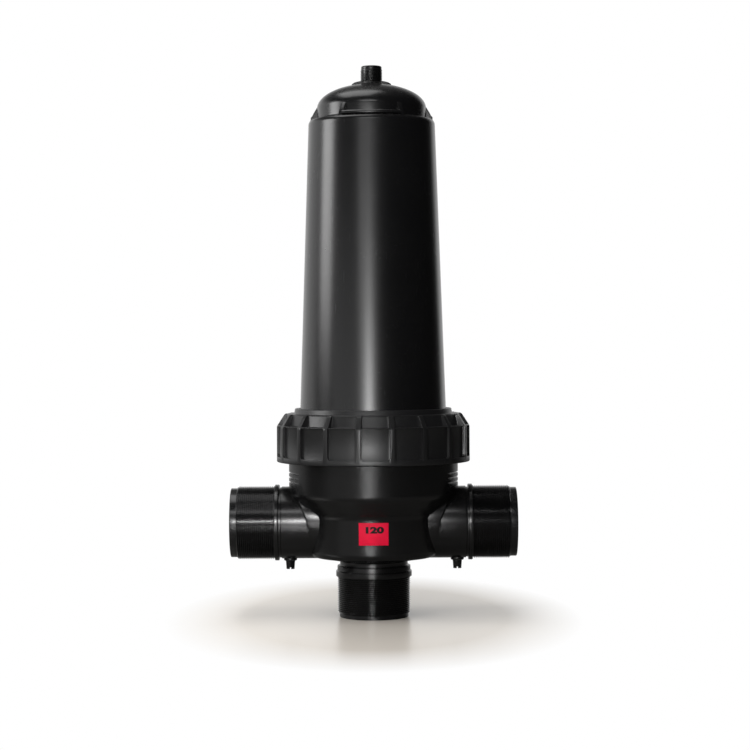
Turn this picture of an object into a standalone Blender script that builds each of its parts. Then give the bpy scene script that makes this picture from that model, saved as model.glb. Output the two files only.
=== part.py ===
"""A three inch irrigation disc filter, as the separate pieces that it comes apart into.

The filter stands on its bottom port. +Z is up, the graded label faces -Y, and the two
side ports lie along X. The origin is the middle of the bottom port's end face.
Lengths are in metres.
"""

import math

import bmesh
import bpy
from mathutils import Matrix, Vector

MM = 0.001
TURN = 2 * math.pi

# Facets round a large turned piece, a port, an inner piece, a small one and a seal's section
LARGE_SIDES = 40
PORT_SIDES = 36
INNER_SIDES = 32
SMALL_SIDES = 20
SEAL_SIDES = 6
HALF_FACET = TURN / 2 / SMALL_SIDES
HALF_PORT_FACET = TURN / 2 / PORT_SIDES

# Clearances between pieces that meet
SEAT_GAP = 0.3 * MM
SLIDING_FIT = 0.8 * MM
THREAD_FIT = 0.7 * MM
SEAL_GAP = 0.4 * MM

# The three pipe ports, each with a three inch male pipe thread
THREAD_DIAMETER = 87.9 * MM
THREAD_RELIEF = 2.35 * MM
THREAD_PITCH = 2.309 * MM
THREAD_DEPTH = 1.48 * MM
TURNS_PER_RIDGE = 2
PORT_WALL = 4.6 * MM
COLLAR_RISE = 1.85 * MM
COLLAR_WIDTH = 5 * MM
GROOVE_DEPTH = 1.65 * MM
GROOVE_WIDTH = 3 * MM
SLEEVE_RELIEF = 0.55 * MM
SLEEVE_LENGTH = 32.2 * MM
SIDE_LEAD = 8.6 * MM
SIDE_THREAD_LENGTH = 44.7 * MM
BOTTOM_LEAD = 5.5 * MM
BOTTOM_THREAD_LENGTH = 43.5 * MM
BOTTOM_COLLAR_WIDTH = 7 * MM
BOTTOM_STEP_RISE = 0.25 * MM
BOTTOM_STEP_WIDTH = 6 * MM
BOTTOM_WAIST_RELIEF = 2.95 * MM
BOTTOM_WAIST_HEIGHT = 6 * MM

# The cover, a tapered can with a domed top, with room round and above the discs
FLOW_GAP = 13 * MM
HEAD_ROOM = 7 * MM
COVER_TAPER = 12 * MM
COVER_WALL = 5.6 * MM
FLANGE_THICKNESS = 10 * MM
FLANGE_FILLET = 5 * MM
SPIGOT_WALL = 8.4 * MM
SPIGOT_DEPTH = 18 * MM
SHOULDER_WIDTH = 10.6 * MM
SHOULDER_RADIUS = 7 * MM
SHOULDER_SWEEP = math.radians(72)
DOME_SIDE_HEIGHT = 13.5 * MM
DOME_RISE = 29.5 * MM
DOME_WALL = 6 * MM
DOME_SWEEP = math.radians(70)
DOME_INNER_SWEEP = math.radians(66)
COVER_SEAL_SECTION = 4.8 * MM

# The lifting lugs round the dome: upright ribs, joined in pairs by a low curved bar
RIB_COUNT = 6
RIB_THICKNESS = 6 * MM
RIB_INSET = 0.8 * MM
RIB_RISE = 1.5 * MM
RIB_BELLY = 1.2 * MM
BAR_INSET = 2.6 * MM
BAR_UNDERCUT = 2 * MM
BAR_LIFT = 0.8 * MM
BAR_HEIGHT = 4 * MM

# The vent neck on top of the dome, with a 3/4 inch male pipe thread
VENT_DIAMETER = 26.4 * MM
VENT_WALL = 4 * MM
VENT_HEIGHT = 18.4 * MM
VENT_FOOT = 3 * MM
WEB_COUNT = 4
WEB_LENGTH = 10.3 * MM
WEB_THICKNESS = 3 * MM
WEB_HEIGHT = 3.4 * MM
VENT_HEAD_INSET = 0.7 * MM
VENT_HEAD_HEIGHT = 3 * MM
VENT_SHANK_LENGTH = 13 * MM
VENT_SOCKET_WIDTH = 8 * MM
VENT_SOCKET_DEPTH = 6 * MM
VENT_SEAL_SECTION = 1.8 * MM

# The base: a round tub under a wider neck
NECK_OVERHANG = 23.2 * MM
TUB_WALL = 6 * MM
TUB_EDGE = 9 * MM
TUB_EDGE_SWEEP = math.radians(80)
TUB_RISE_OVER_PORTS = 14 * MM
TUB_DROP_UNDER_PORTS = 2.6 * MM
FLOOR_SLOPE = 5 * MM
FLOOR_THICKNESS = 6 * MM
FLOOR_RELIEF = 0.8 * MM
FLOOR_CORNER = 5 * MM
NECK_WALL = 10 * MM
CONE_HEIGHT = 16 * MM
NECK_HEIGHT = 44 * MM
NECK_THREAD_HEIGHT = 38 * MM
NECK_THREAD_DEPTH = 1.8 * MM

# The root where each sleeve leaves the tub
ROOT_GROWTH = 2.2 * MM
ROOT_LIFT = 4.4 * MM
ROOT_OVERHANG = 1 * MM
ROOT_STOP = 14.2 * MM

# The cooling slots moulded across the neck above each side port
SLOT_COUNT = 3
SLOT_HEIGHT = 2.4 * MM
SLOT_PITCH = 5.6 * MM
SLOT_DEPTH = 5 * MM
SLOT_HALF_ANGLE = math.radians(30)
SLOT_RISE = 18.4 * MM

# The clamp nut that holds the cover down
NUT_WALL = 8.6 * MM
NUT_WEB = 9.4 * MM
NUT_RIB_COUNT = 18
NUT_RIB_HEIGHT = 3.4 * MM
NUT_RIB_WIDTH = 5.6 * MM
NUT_RIB_TURN = math.radians(1.4)
NUT_RIB_FLARE = 1.35
NUT_FACET = math.radians(8.5)
NUT_BAND_HEIGHT = 6.5 * MM
NUT_LEDGE_DROP = 15 * MM
NUT_TOP_INSET = 9 * MM
NUT_VALLEY_DEPTH = 6 * MM
NUT_LIP_HEIGHT = 6 * MM
NUT_LIP_WALL = 5.5 * MM
NUT_CHAMFER = 1.2 * MM

# The two pressure tap plugs under the sleeves
TAP_INSET = 10.2 * MM
TAP_THREAD_DIAMETER = 11.4 * MM
TAP_HEAD_RISE = 0.6 * MM
TAP_HEAD_TAPER = 0.8 * MM
TAP_HEAD_HEIGHT = 10 * MM
TAP_SHANK_LENGTH = 6.6 * MM
TAP_PAD_MARGIN = 1.7 * MM
TAP_PAD_HEIGHT = 0.9 * MM
TAP_SEAL_SECTION = 1.3 * MM
TAP_SLOT_WIDTH = 1.8 * MM
TAP_SLOT_DEPTH = 2.2 * MM

# The label that names the filtration grade
LABEL_WIDTH = 35 * MM
LABEL_HEIGHT = 26.5 * MM
LABEL_THICKNESS = 0.8 * MM
LABEL_DROP = 7.5 * MM

# The riser in the base, which carries the filter element
RISER_WALL = 5 * MM
RISER_TOP_RISE = 2 * MM

# The filter element: a finned spine with a stack of grooved discs on it
DISC_BORE_STEP = 3 * MM
DISC_WIDTH = 18 * MM
PACK_COUNT = 8
PACK_HEIGHT = 43.4 * MM
SPIGOT_LENGTH = 18 * MM
SPINE_SEAL_SECTION = 4 * MM
SPINE_WALL = 7.2 * MM
SPINE_FLANGE_OVERHANG = 9 * MM
SPINE_FLANGE_THICKNESS = 6 * MM
SPINE_FIN_COUNT = 6
SPINE_FIN_THICKNESS = 4 * MM
SPINE_HUB_DIAMETER = 22 * MM
SPINE_TOP_DROP = 4 * MM
STUD_DIAMETER = 16 * MM
STUD_REACH = 8.9 * MM
SWIRL_HEIGHT = 18 * MM
SWIRL_WALL = 3.6 * MM
SWIRL_GAP = 4 * MM
SWIRL_VANE_COUNT = 12
SWIRL_VANE_THICKNESS = 2.4 * MM
SWIRL_VANE_LEAN = math.radians(55)
PLATE_THICKNESS = 7 * MM
PLATE_OVERHANG = 2 * MM
PLATE_HUB_DIAMETER = 40 * MM
PLATE_HUB_HEIGHT = 10 * MM
WASHER_DIAMETER = 34 * MM
WASHER_THICKNESS = 2.5 * MM
WING_HUB_DIAMETER = 28 * MM
WING_HEIGHT = 21 * MM
WING_REACH = 32 * MM
WING_COUNT = 3
WING_THICKNESS = 6 * MM

# Widths that follow from the sizes above, from the ports' bore out to the clamp nut
THREAD_RADIUS = THREAD_DIAMETER / 2
LEAD_RADIUS = THREAD_RADIUS - THREAD_RELIEF
COLLAR_RADIUS = THREAD_RADIUS + COLLAR_RISE
GROOVE_RADIUS = THREAD_RADIUS - GROOVE_DEPTH
SLEEVE_RADIUS = THREAD_RADIUS - SLEEVE_RELIEF
BORE_RADIUS = LEAD_RADIUS - PORT_WALL
RISER_RADIUS = BORE_RADIUS + RISER_WALL
DISC_BORE_RADIUS = BORE_RADIUS + DISC_BORE_STEP
DISC_RADIUS = DISC_BORE_RADIUS + DISC_WIDTH
COVER_TOP_RADIUS = DISC_RADIUS + FLOW_GAP + COVER_WALL
COVER_RADIUS = COVER_TOP_RADIUS + COVER_TAPER
COVER_INNER_RADIUS = COVER_RADIUS - COVER_WALL
DOME_RADIUS = COVER_TOP_RADIUS - SHOULDER_WIDTH
SPIGOT_RADIUS = COVER_INNER_RADIUS + SPIGOT_WALL
NECK_BORE_RADIUS = SPIGOT_RADIUS + SLIDING_FIT
NECK_RADIUS = NECK_BORE_RADIUS + NECK_WALL
NECK_THREAD_RADIUS = NECK_RADIUS + NECK_THREAD_DEPTH
TUB_RADIUS = NECK_RADIUS - NECK_OVERHANG
NUT_BORE_RADIUS = NECK_THREAD_RADIUS + THREAD_FIT
FLANGE_RADIUS = NUT_BORE_RADIUS - SLIDING_FIT - THREAD_FIT
NUT_PANEL_RADIUS = NUT_BORE_RADIUS + NUT_WALL
NUT_RADIUS = NUT_PANEL_RADIUS + NUT_RIB_HEIGHT
NUT_EYE_RADIUS = COVER_RADIUS + SLIDING_FIT
STUD_RADIUS = STUD_DIAMETER / 2
STUD_HOLE_RADIUS = STUD_RADIUS + THREAD_FIT
TAP_THREAD_RADIUS = TAP_THREAD_DIAMETER / 2
TAP_HOLE_RADIUS = TAP_THREAD_RADIUS + THREAD_FIT
TAP_HEAD_RADIUS = TAP_THREAD_RADIUS + TAP_HEAD_RISE
VENT_RADIUS = VENT_DIAMETER / 2
VENT_BORE_RADIUS = VENT_RADIUS - VENT_WALL
VENT_SHANK_RADIUS = VENT_BORE_RADIUS - THREAD_FIT
VENT_SEAT_RADIUS = VENT_BORE_RADIUS + VENT_SEAL_SECTION + SEAL_GAP
VENT_SEAT_DEPTH = VENT_SEAL_SECTION

# Places along the side ports' axis that follow from the sizes above
SLEEVE_END = TUB_RADIUS + SLEEVE_LENGTH
PORT_END = SLEEVE_END + GROOVE_WIDTH + COLLAR_WIDTH + SIDE_THREAD_LENGTH + SIDE_LEAD
TAP_PLACE = SLEEVE_END - TAP_INSET

# Heights that follow from the sizes above, from the floor of the base up to the vent
FLOOR_Z = (
    BOTTOM_LEAD
    + BOTTOM_THREAD_LENGTH
    + BOTTOM_COLLAR_WIDTH
    + BOTTOM_STEP_WIDTH
    + BOTTOM_WAIST_HEIGHT
)
PORT_AXIS_Z = FLOOR_Z + SLEEVE_RADIUS + TUB_DROP_UNDER_PORTS
CHAMBER_Z = PORT_AXIS_Z - BORE_RADIUS - FLOOR_RELIEF
TUB_TOP_Z = PORT_AXIS_Z + TUB_RISE_OVER_PORTS
TAP_PAD_Z = PORT_AXIS_Z - SLEEVE_RADIUS - TAP_PAD_HEIGHT
NECK_Z = TUB_TOP_Z + CONE_HEIGHT
NECK_TOP_Z = NECK_Z + NECK_HEIGHT
RIM_Z = NECK_TOP_Z + NECK_THREAD_HEIGHT
RISER_TOP_Z = NECK_TOP_Z + RISER_TOP_RISE
SPINE_FLANGE_Z = RISER_TOP_Z + SEAT_GAP
ELEMENT_Z = SPINE_FLANGE_Z + SPINE_FLANGE_THICKNESS
PACK_PITCH = PACK_HEIGHT + SEAT_GAP
PLATE_Z = ELEMENT_Z + SEAT_GAP + PACK_COUNT * PACK_PITCH
SPINE_TOP_Z = PLATE_Z - SPINE_TOP_DROP
PLATE_TOP_Z = PLATE_Z + PLATE_THICKNESS + PLATE_HUB_HEIGHT
WASHER_Z = PLATE_TOP_Z + SEAT_GAP
WING_Z = WASHER_Z + WASHER_THICKNESS + SEAT_GAP
WING_TOP_Z = WING_Z + WING_HEIGHT
STUD_TOP_Z = WING_TOP_Z + STUD_REACH
FLANGE_Z = RIM_Z + SEAT_GAP
FLANGE_TOP_Z = FLANGE_Z + FLANGE_THICKNESS
NUT_WEB_Z = FLANGE_TOP_Z + SEAT_GAP
NUT_TOP_Z = NUT_WEB_Z + NUT_WEB
SHOULDER_Z = WING_TOP_Z + HEAD_ROOM
DOME_Z = SHOULDER_Z + SHOULDER_RADIUS
DOME_SPRING_Z = DOME_Z + DOME_SIDE_HEIGHT
DOME_TOP_Z = DOME_SPRING_Z + DOME_RISE
VENT_TOP_Z = DOME_TOP_Z + VENT_HEIGHT


# Materials

def finish(name, colour, roughness, metallic=0.0):
    """A plain surface finish with the piece's colour, roughness and metallic value."""
    material = bpy.data.materials.new(name)
    material.use_nodes = True
    shader = material.node_tree.nodes["Principled BSDF"]
    shader.inputs["Base Color"].default_value = (*colour, 1)
    shader.inputs["Roughness"].default_value = roughness
    shader.inputs["Metallic"].default_value = metallic
    material.diffuse_color = (*colour, 1)
    return material


def make_finishes():
    """Every finish by name."""
    return {
        "moulded": finish("moulded_black", (0.025, 0.025, 0.027), 0.42),
        "nut": finish("nut_black", (0.04, 0.04, 0.042), 0.5),
        "gloss": finish("gloss_black", (0.012, 0.012, 0.013), 0.25),
        "seal": finish("seal_rubber", (0.015, 0.015, 0.015), 0.7),
        "label": finish("label_red", (0.6, 0.01, 0.05), 0.4),
        "disc": finish("disc_red", (0.55, 0.03, 0.03), 0.5),
        "element": finish("element_grey", (0.18, 0.18, 0.19), 0.5),
    }


# Scene helpers

def clear_scene():
    """Empties the scene of whatever it starts with."""
    for obj in list(bpy.data.objects):
        bpy.data.objects.remove(obj, do_unlink=True)


def add_frame(name, z, x=0.0, parent=None):
    """An empty that carries the pieces of one moving group."""
    frame = bpy.data.objects.new(name, None)
    frame.empty_display_size = 20 * MM
    bpy.context.scene.collection.objects.link(frame)
    frame.location = (x, 0, z)
    frame.parent = parent
    return frame


def add_object(name, mesh, material, parent=None, height=0.0):
    """One piece, its mesh drawn from its parent's height."""
    obj = bpy.data.objects.new(name, mesh)
    bpy.context.scene.collection.objects.link(obj)
    if material:
        mesh.materials.append(material)
    obj.parent = parent
    obj.location.z = height
    return obj


def as_tool(obj):
    """Marks a shape that only cuts or adds to another."""
    obj.hide_render = True
    obj.display_type = "WIRE"
    return obj


def combine(obj, operation, *tools):
    """Adds or cuts all the tools' shapes on the object in one step."""
    group = bpy.data.collections.new(f"{obj.name}_{operation.lower()}")
    bpy.context.scene.collection.children.link(group)
    for tool in tools:
        bpy.context.scene.collection.objects.unlink(as_tool(tool))
        group.objects.link(tool)
    modifier = obj.modifiers.new(group.name, "BOOLEAN")
    modifier.operation = operation
    modifier.operand_type = "COLLECTION"
    modifier.collection = group
    modifier.solver = "EXACT"


def shade(mesh, sharp_angle=math.radians(30)):
    """Smooth shading that keeps real edges crisp."""
    mesh.shade_smooth()
    mesh.set_sharp_from_angle(angle=sharp_angle)


def mesh_of(name, bm):
    """Closes off a mesh under construction: one skin, facing out."""
    bmesh.ops.remove_doubles(bm, verts=bm.verts, dist=1e-7)
    bmesh.ops.recalc_face_normals(bm, faces=bm.faces)
    mesh = bpy.data.meshes.new(name)
    bm.to_mesh(mesh)
    bm.free()
    shade(mesh)
    return mesh


# Shapes

def turned_mesh(name, outline, sides=LARGE_SIDES, along_x=False, turn=0.0):
    """A full turn of a closed outline of (radius, height) points about the axis."""
    bm = bmesh.new()
    verts = [
        bm.verts.new((radius * math.cos(turn), radius * math.sin(turn), height))
        for radius, height in outline
    ]
    edges = [bm.edges.new((verts[i - 1], verts[i])) for i in range(len(verts))]
    bmesh.ops.spin(
        bm,
        geom=verts + edges,
        cent=(0, 0, 0),
        axis=(0, 0, 1),
        angle=TURN,
        steps=sides,
        use_merge=True,
    )
    if along_x:
        bmesh.ops.rotate(
            bm, verts=bm.verts, cent=(0, 0, 0), matrix=Matrix.Rotation(TURN / 4, 3, "Y")
        )
    return mesh_of(name, bm)


def sector_mesh(name, outline, start, end, steps):
    """Part of a turn of a closed outline, with flat ends."""
    bm = bmesh.new()
    rings = []
    for step in range(steps + 1):
        angle = start + (end - start) * step / steps
        rings.append(
            [
                bm.verts.new((r * math.cos(angle), r * math.sin(angle), z))
                for r, z in outline
            ]
        )
    bridge_rings(bm, rings)
    bm.faces.new(rings[0])
    bm.faces.new(rings[-1])
    return mesh_of(name, bm)


def bridge_rings(bm, rings):
    """Faces between each ring of points and the next."""
    for lower, upper in zip(rings, rings[1:]):
        for i in range(len(lower)):
            bm.faces.new((lower[i - 1], lower[i], upper[i], upper[i - 1]))


def prism_mesh(name, corners, low, high, end_scale=1.0):
    """An upright prism over a flat outline, which may taper to its upper end."""
    bm = bmesh.new()
    lower = [bm.verts.new((x, y, low)) for x, y in corners]
    upper = [bm.verts.new((x * end_scale, y * end_scale, high)) for x, y in corners]
    bridge_rings(bm, [lower, upper])
    bm.faces.new(lower)
    bm.faces.new(upper)
    return mesh_of(name, bm)


def circle_points(radius, sides, turn=0.0):
    """Points round a circle, from the angle given."""
    return [
        (
            radius * math.cos(turn + TURN * i / sides),
            radius * math.sin(turn + TURN * i / sides),
        )
        for i in range(sides)
    ]


def arc(centre_r, centre_z, radius_r, radius_z, start, end, steps):
    """Points of an elliptical arc in the (radius, height) plane."""
    points = []
    for step in range(steps + 1):
        angle = start + (end - start) * step / steps
        points.append(
            (
                centre_r + radius_r * math.cos(angle),
                centre_z + radius_z * math.sin(angle),
            )
        )
    return points


def radial_bars(name, count, inner, outer, thickness, low, high, turn=0.0):
    """Flat upright bars that run out from the axis, each a tool of its own."""
    bars = []
    for index in range(count):
        angle = turn + TURN * index / count
        out = Vector((math.cos(angle), math.sin(angle)))
        side = Vector((-out.y, out.x)) * thickness / 2
        corners = [out * inner - side, out * outer - side, out * outer + side, out * inner + side]
        mesh = prism_mesh(f"{name}_{index + 1}", [tuple(c) for c in corners], low, high)
        bars.append(add_object(f"{name}_{index + 1}", mesh, None))
    return bars


def seal_mesh(name, middle_radius, section, height, sides):
    """A ring of round section."""
    return turned_mesh(
        name,
        arc(middle_radius, height, section / 2, section / 2, 0, TURN, SEAL_SIDES)[:-1],
        sides,
    )


# The base

def thread_ridges(start, length):
    """The port thread as plain rings, each of which stands for a few turns of it."""
    count = round(length / THREAD_PITCH / TURNS_PER_RIDGE)
    pitch = length / count
    root = THREAD_RADIUS - THREAD_DEPTH
    points = [(root, start)]
    for index in range(count):
        points += [
            (THREAD_RADIUS, start + (index + 0.5) * pitch),
            (root, start + (index + 1) * pitch),
        ]
    return points


def tub_outline():
    """The tub, neck and bottom port round the bore, still filled between bore and outside."""
    lead = LEAD_RADIUS
    collar = COLLAR_RADIUS
    step = THREAD_RADIUS + BOTTOM_STEP_RISE
    waist = THREAD_RADIUS - BOTTOM_WAIST_RELIEF
    thread_z = BOTTOM_LEAD
    collar_z = thread_z + BOTTOM_THREAD_LENGTH
    step_z = collar_z + BOTTOM_COLLAR_WIDTH
    waist_z = step_z + BOTTOM_STEP_WIDTH
    return [
        (BORE_RADIUS, 0),
        (lead, 0),
        (lead, thread_z),
        *thread_ridges(thread_z, BOTTOM_THREAD_LENGTH),
        (collar, collar_z),
        (collar, step_z),
        (step, step_z),
        (step, waist_z),
        (waist, waist_z),
        (waist, FLOOR_Z),
        *arc(
            TUB_RADIUS - TUB_EDGE,
            FLOOR_Z + FLOOR_SLOPE + TUB_EDGE,
            TUB_EDGE,
            TUB_EDGE,
            -TUB_EDGE_SWEEP,
            0,
            3,
        ),
        (TUB_RADIUS, TUB_TOP_Z),
        (NECK_RADIUS, NECK_Z),
        (NECK_RADIUS, NECK_TOP_Z),
        (NECK_THREAD_RADIUS, NECK_TOP_Z + NECK_THREAD_DEPTH),
        (NECK_THREAD_RADIUS, RIM_Z),
        (NECK_BORE_RADIUS, RIM_Z),
        (NECK_BORE_RADIUS, RISER_TOP_Z),
        (RISER_RADIUS, RISER_TOP_Z),
        (BORE_RADIUS, RISER_TOP_Z),
    ]


def chamber_outline():
    """The ring of space in the base round its riser, the tube that leads down to the bore."""
    inner = TUB_RADIUS - TUB_WALL
    return [
        (RISER_RADIUS, CHAMBER_Z),
        (inner - FLOOR_CORNER, CHAMBER_Z),
        (inner, CHAMBER_Z + FLOOR_CORNER),
        (inner, TUB_TOP_Z + FLOOR_THICKNESS),
        (NECK_BORE_RADIUS, NECK_Z + FLOOR_THICKNESS),
        (NECK_BORE_RADIUS, RISER_TOP_Z + FLOOR_THICKNESS),
        (RISER_RADIUS, RISER_TOP_Z + FLOOR_THICKNESS),
    ]


def sleeve_outline():
    """One side port from the tub's middle out to its end, along its own axis."""
    groove = SLEEVE_END + GROOVE_WIDTH
    collar = groove + COLLAR_WIDTH
    thread = collar + SIDE_THREAD_LENGTH
    return [
        (0, RISER_RADIUS),
        (SLEEVE_RADIUS, RISER_RADIUS),
        (SLEEVE_RADIUS, SLEEVE_END),
        (GROOVE_RADIUS, SLEEVE_END),
        (GROOVE_RADIUS, groove),
        (COLLAR_RADIUS, groove),
        (COLLAR_RADIUS, collar),
        *thread_ridges(collar, SIDE_THREAD_LENGTH),
        (LEAD_RADIUS, thread),
        (LEAD_RADIUS, PORT_END),
        (0, PORT_END),
    ]


def root_mesh(name):
    """The thicker root of a sleeve, whose end leans out above the port's axis."""
    radius = SLEEVE_RADIUS + ROOT_GROWTH
    start = RISER_RADIUS + ROOT_GROWTH
    foot = TUB_RADIUS - ROOT_OVERHANG
    near = []
    far = []
    bm = bmesh.new()
    for y, up in circle_points(radius, PORT_SIDES, HALF_PORT_FACET):
        z = PORT_AXIS_Z + ROOT_LIFT + up
        rise = max(0.0, z - PORT_AXIS_Z) / radius
        reach = foot + (SLEEVE_END - ROOT_STOP - foot) * rise
        near.append(bm.verts.new((start, y, z)))
        far.append(bm.verts.new((reach, y, z)))
    bridge_rings(bm, [near, far])
    bm.faces.new(near)
    bmesh.ops.triangle_fill(
        bm, edges=[bm.edges.get((far[i - 1], far[i])) for i in range(len(far))]
    )
    return mesh_of(name, bm)


def slot_tools(side, turn):
    """The slots across the neck above one side port, as curved bars that cut it."""
    tools = []
    for index in range(SLOT_COUNT):
        low = NECK_Z + SLOT_RISE + index * SLOT_PITCH
        outline = [
            (NECK_RADIUS - SLOT_DEPTH, low),
            (NECK_RADIUS + SLOT_DEPTH, low),
            (NECK_RADIUS + SLOT_DEPTH, low + SLOT_HEIGHT),
            (NECK_RADIUS - SLOT_DEPTH, low + SLOT_HEIGHT),
        ]
        name = f"slot_{side}_{index + 1}"
        mesh = sector_mesh(name, outline, turn - SLOT_HALF_ANGLE, turn + SLOT_HALF_ANGLE, 7)
        tools.append(add_object(name, mesh, None))
    return tools


def tap_tools(side, x):
    """The pad under one sleeve and the hole through it, for a pressure tap plug."""
    deep = PORT_AXIS_Z - BORE_RADIUS
    pad = prism_mesh(
        f"tap_pad_{side}",
        circle_points(TAP_HEAD_RADIUS + TAP_PAD_MARGIN, SMALL_SIDES, HALF_FACET),
        TAP_PAD_Z,
        (TAP_PAD_Z + deep) / 2,
    )
    hole = prism_mesh(
        f"tap_hole_{side}",
        circle_points(TAP_HOLE_RADIUS, SMALL_SIDES, HALF_FACET / 2),
        TAP_PAD_Z - TAP_PAD_HEIGHT,
        deep + TAP_THREAD_RADIUS,
    )
    tools = add_object(f"tap_pad_{side}", pad, None), add_object(f"tap_hole_{side}", hole, None)
    for tool in tools:
        tool.location.x = x
    return tools


def make_base(finishes, parent):
    """The moulded base, with its tub, neck, three ports and inner riser."""
    body = add_object(
        "base_body", turned_mesh("base_body", tub_outline()), finishes["moulded"], parent
    )
    near = RISER_RADIUS + ROOT_GROWTH
    beyond = PORT_END + SIDE_LEAD
    bore_outline = [(0, near), (BORE_RADIUS, near), (BORE_RADIUS, beyond), (0, beyond)]
    sleeves = []
    holes = [add_object("chamber", turned_mesh("chamber", chamber_outline()), None)]
    for side, sign in (("right", 1), ("left", -1)):
        sleeve = turned_mesh(
            f"sleeve_{side}", sleeve_outline(), PORT_SIDES, along_x=True, turn=HALF_PORT_FACET
        )
        bore = turned_mesh(
            f"bore_{side}", bore_outline, PORT_SIDES, along_x=True, turn=HALF_PORT_FACET / 2
        )
        root = root_mesh(f"root_{side}")
        if sign < 0:
            for mesh in (sleeve, bore, root):
                mesh.transform(Matrix.Rotation(TURN / 2, 4, "Z"))
        pad, hole = tap_tools(side, sign * TAP_PLACE)
        sleeves += [
            add_object(f"sleeve_{side}", sleeve, None, height=PORT_AXIS_Z),
            add_object(f"root_{side}", root, None),
            pad,
        ]
        holes += [
            add_object(f"bore_{side}", bore, None, height=PORT_AXIS_Z),
            hole,
            *slot_tools(side, 0 if sign > 0 else TURN / 2),
        ]
    combine(body, "UNION", *sleeves)
    combine(body, "DIFFERENCE", *holes)
    return body


def make_label(finishes, parent):
    """The curved plate on the front of the tub that names the grade."""
    half = LABEL_WIDTH / 2 / TUB_RADIUS
    inner = TUB_RADIUS + SEAT_GAP
    middle = PORT_AXIS_Z - LABEL_DROP
    outline = [
        (inner, middle - LABEL_HEIGHT / 2),
        (inner + LABEL_THICKNESS, middle - LABEL_HEIGHT / 2),
        (inner + LABEL_THICKNESS, middle + LABEL_HEIGHT / 2),
        (inner, middle + LABEL_HEIGHT / 2),
    ]
    front = -TURN / 4
    mesh = sector_mesh("grade_label", outline, front - half, front + half, 6)
    return add_object("grade_label", mesh, finishes["label"], parent)


def make_tap(side, finishes, parent, plug_frame):
    """A pressure tap plug and its seal, hung under one sleeve."""
    ring_radius = TAP_HOLE_RADIUS + TAP_SEAL_SECTION / 2 + SEAL_GAP / 2
    seal_z = -SEAT_GAP - TAP_SEAL_SECTION / 2
    seal = seal_mesh(f"tap_seal_{side}", ring_radius, TAP_SEAL_SECTION, seal_z, SMALL_SIDES)
    add_object(f"tap_seal_{side}", seal, finishes["seal"], parent)
    head_top = seal_z - TAP_SEAL_SECTION / 2 - SEAT_GAP
    end_radius = TAP_HEAD_RADIUS - TAP_HEAD_TAPER
    head = prism_mesh(
        f"tap_plug_{side}",
        circle_points(end_radius, 6, TURN / 12),
        head_top - TAP_HEAD_HEIGHT,
        head_top,
        TAP_HEAD_RADIUS / end_radius,
    )
    plug = add_object(f"tap_plug_{side}", head, finishes["gloss"], plug_frame)
    shank = prism_mesh(
        f"tap_shank_{side}",
        circle_points(TAP_THREAD_RADIUS, SMALL_SIDES),
        head_top - TAP_SEAL_SECTION,
        TAP_SHANK_LENGTH,
    )
    shank_tool = add_object(f"tap_shank_{side}", shank, None, plug_frame)
    half = TAP_SLOT_WIDTH / 2
    wide = 2 * TAP_HEAD_RADIUS
    slot = prism_mesh(
        f"tap_slot_{side}",
        [(-half, -wide), (half, -wide), (half, wide), (-half, wide)],
        head_top - TAP_HEAD_HEIGHT - TAP_SLOT_DEPTH,
        head_top - TAP_HEAD_HEIGHT + TAP_SLOT_DEPTH,
    )
    combine(plug, "UNION", shank_tool)
    combine(plug, "DIFFERENCE", add_object(f"tap_slot_{side}", slot, None, plug_frame))
    return plug


# The cover

def cover_outline():
    """The cover's wall, from the spigot up the outside and back down the inside."""
    seal_z = FLANGE_Z - SPIGOT_DEPTH / 2
    half_groove = COVER_SEAL_SECTION / 2 + SEAL_GAP
    groove = SPIGOT_RADIUS - COVER_SEAL_SECTION
    spring = DOME_SPRING_Z
    inner_dome = DOME_RADIUS - DOME_WALL
    foot = VENT_RADIUS + VENT_FOOT
    taper = COVER_TAPER / (SHOULDER_Z - FLANGE_TOP_Z)
    return [
        (COVER_INNER_RADIUS, FLANGE_Z - SPIGOT_DEPTH),
        (SPIGOT_RADIUS, FLANGE_Z - SPIGOT_DEPTH),
        (SPIGOT_RADIUS, seal_z - half_groove),
        (groove, seal_z - half_groove),
        (groove, seal_z + half_groove),
        (SPIGOT_RADIUS, seal_z + half_groove),
        (SPIGOT_RADIUS, FLANGE_Z),
        (FLANGE_RADIUS, FLANGE_Z),
        (FLANGE_RADIUS, FLANGE_TOP_Z),
        (COVER_RADIUS, FLANGE_TOP_Z),
        *arc(
            COVER_TOP_RADIUS - SHOULDER_RADIUS,
            SHOULDER_Z,
            SHOULDER_RADIUS,
            SHOULDER_RADIUS,
            0,
            SHOULDER_SWEEP,
            3,
        ),
        (DOME_RADIUS, DOME_Z),
        *arc(0, spring, DOME_RADIUS, DOME_RISE, 0, DOME_SWEEP, 6),
        (foot, DOME_TOP_Z),
        (VENT_RADIUS, DOME_TOP_Z + VENT_FOOT),
        (VENT_RADIUS, VENT_TOP_Z),
        (VENT_SEAT_RADIUS, VENT_TOP_Z),
        (VENT_SEAT_RADIUS, VENT_TOP_Z - VENT_SEAT_DEPTH),
        (VENT_BORE_RADIUS, VENT_TOP_Z - VENT_SEAT_DEPTH),
        (VENT_BORE_RADIUS, DOME_TOP_Z - DOME_WALL),
        *arc(0, spring, inner_dome, DOME_RISE - DOME_WALL, DOME_INNER_SWEEP, 0, 4),
        (inner_dome, DOME_Z),
        (COVER_TOP_RADIUS - COVER_WALL, SHOULDER_Z),
        (COVER_INNER_RADIUS + taper * FLANGE_FILLET, FLANGE_TOP_Z),
    ]


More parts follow.
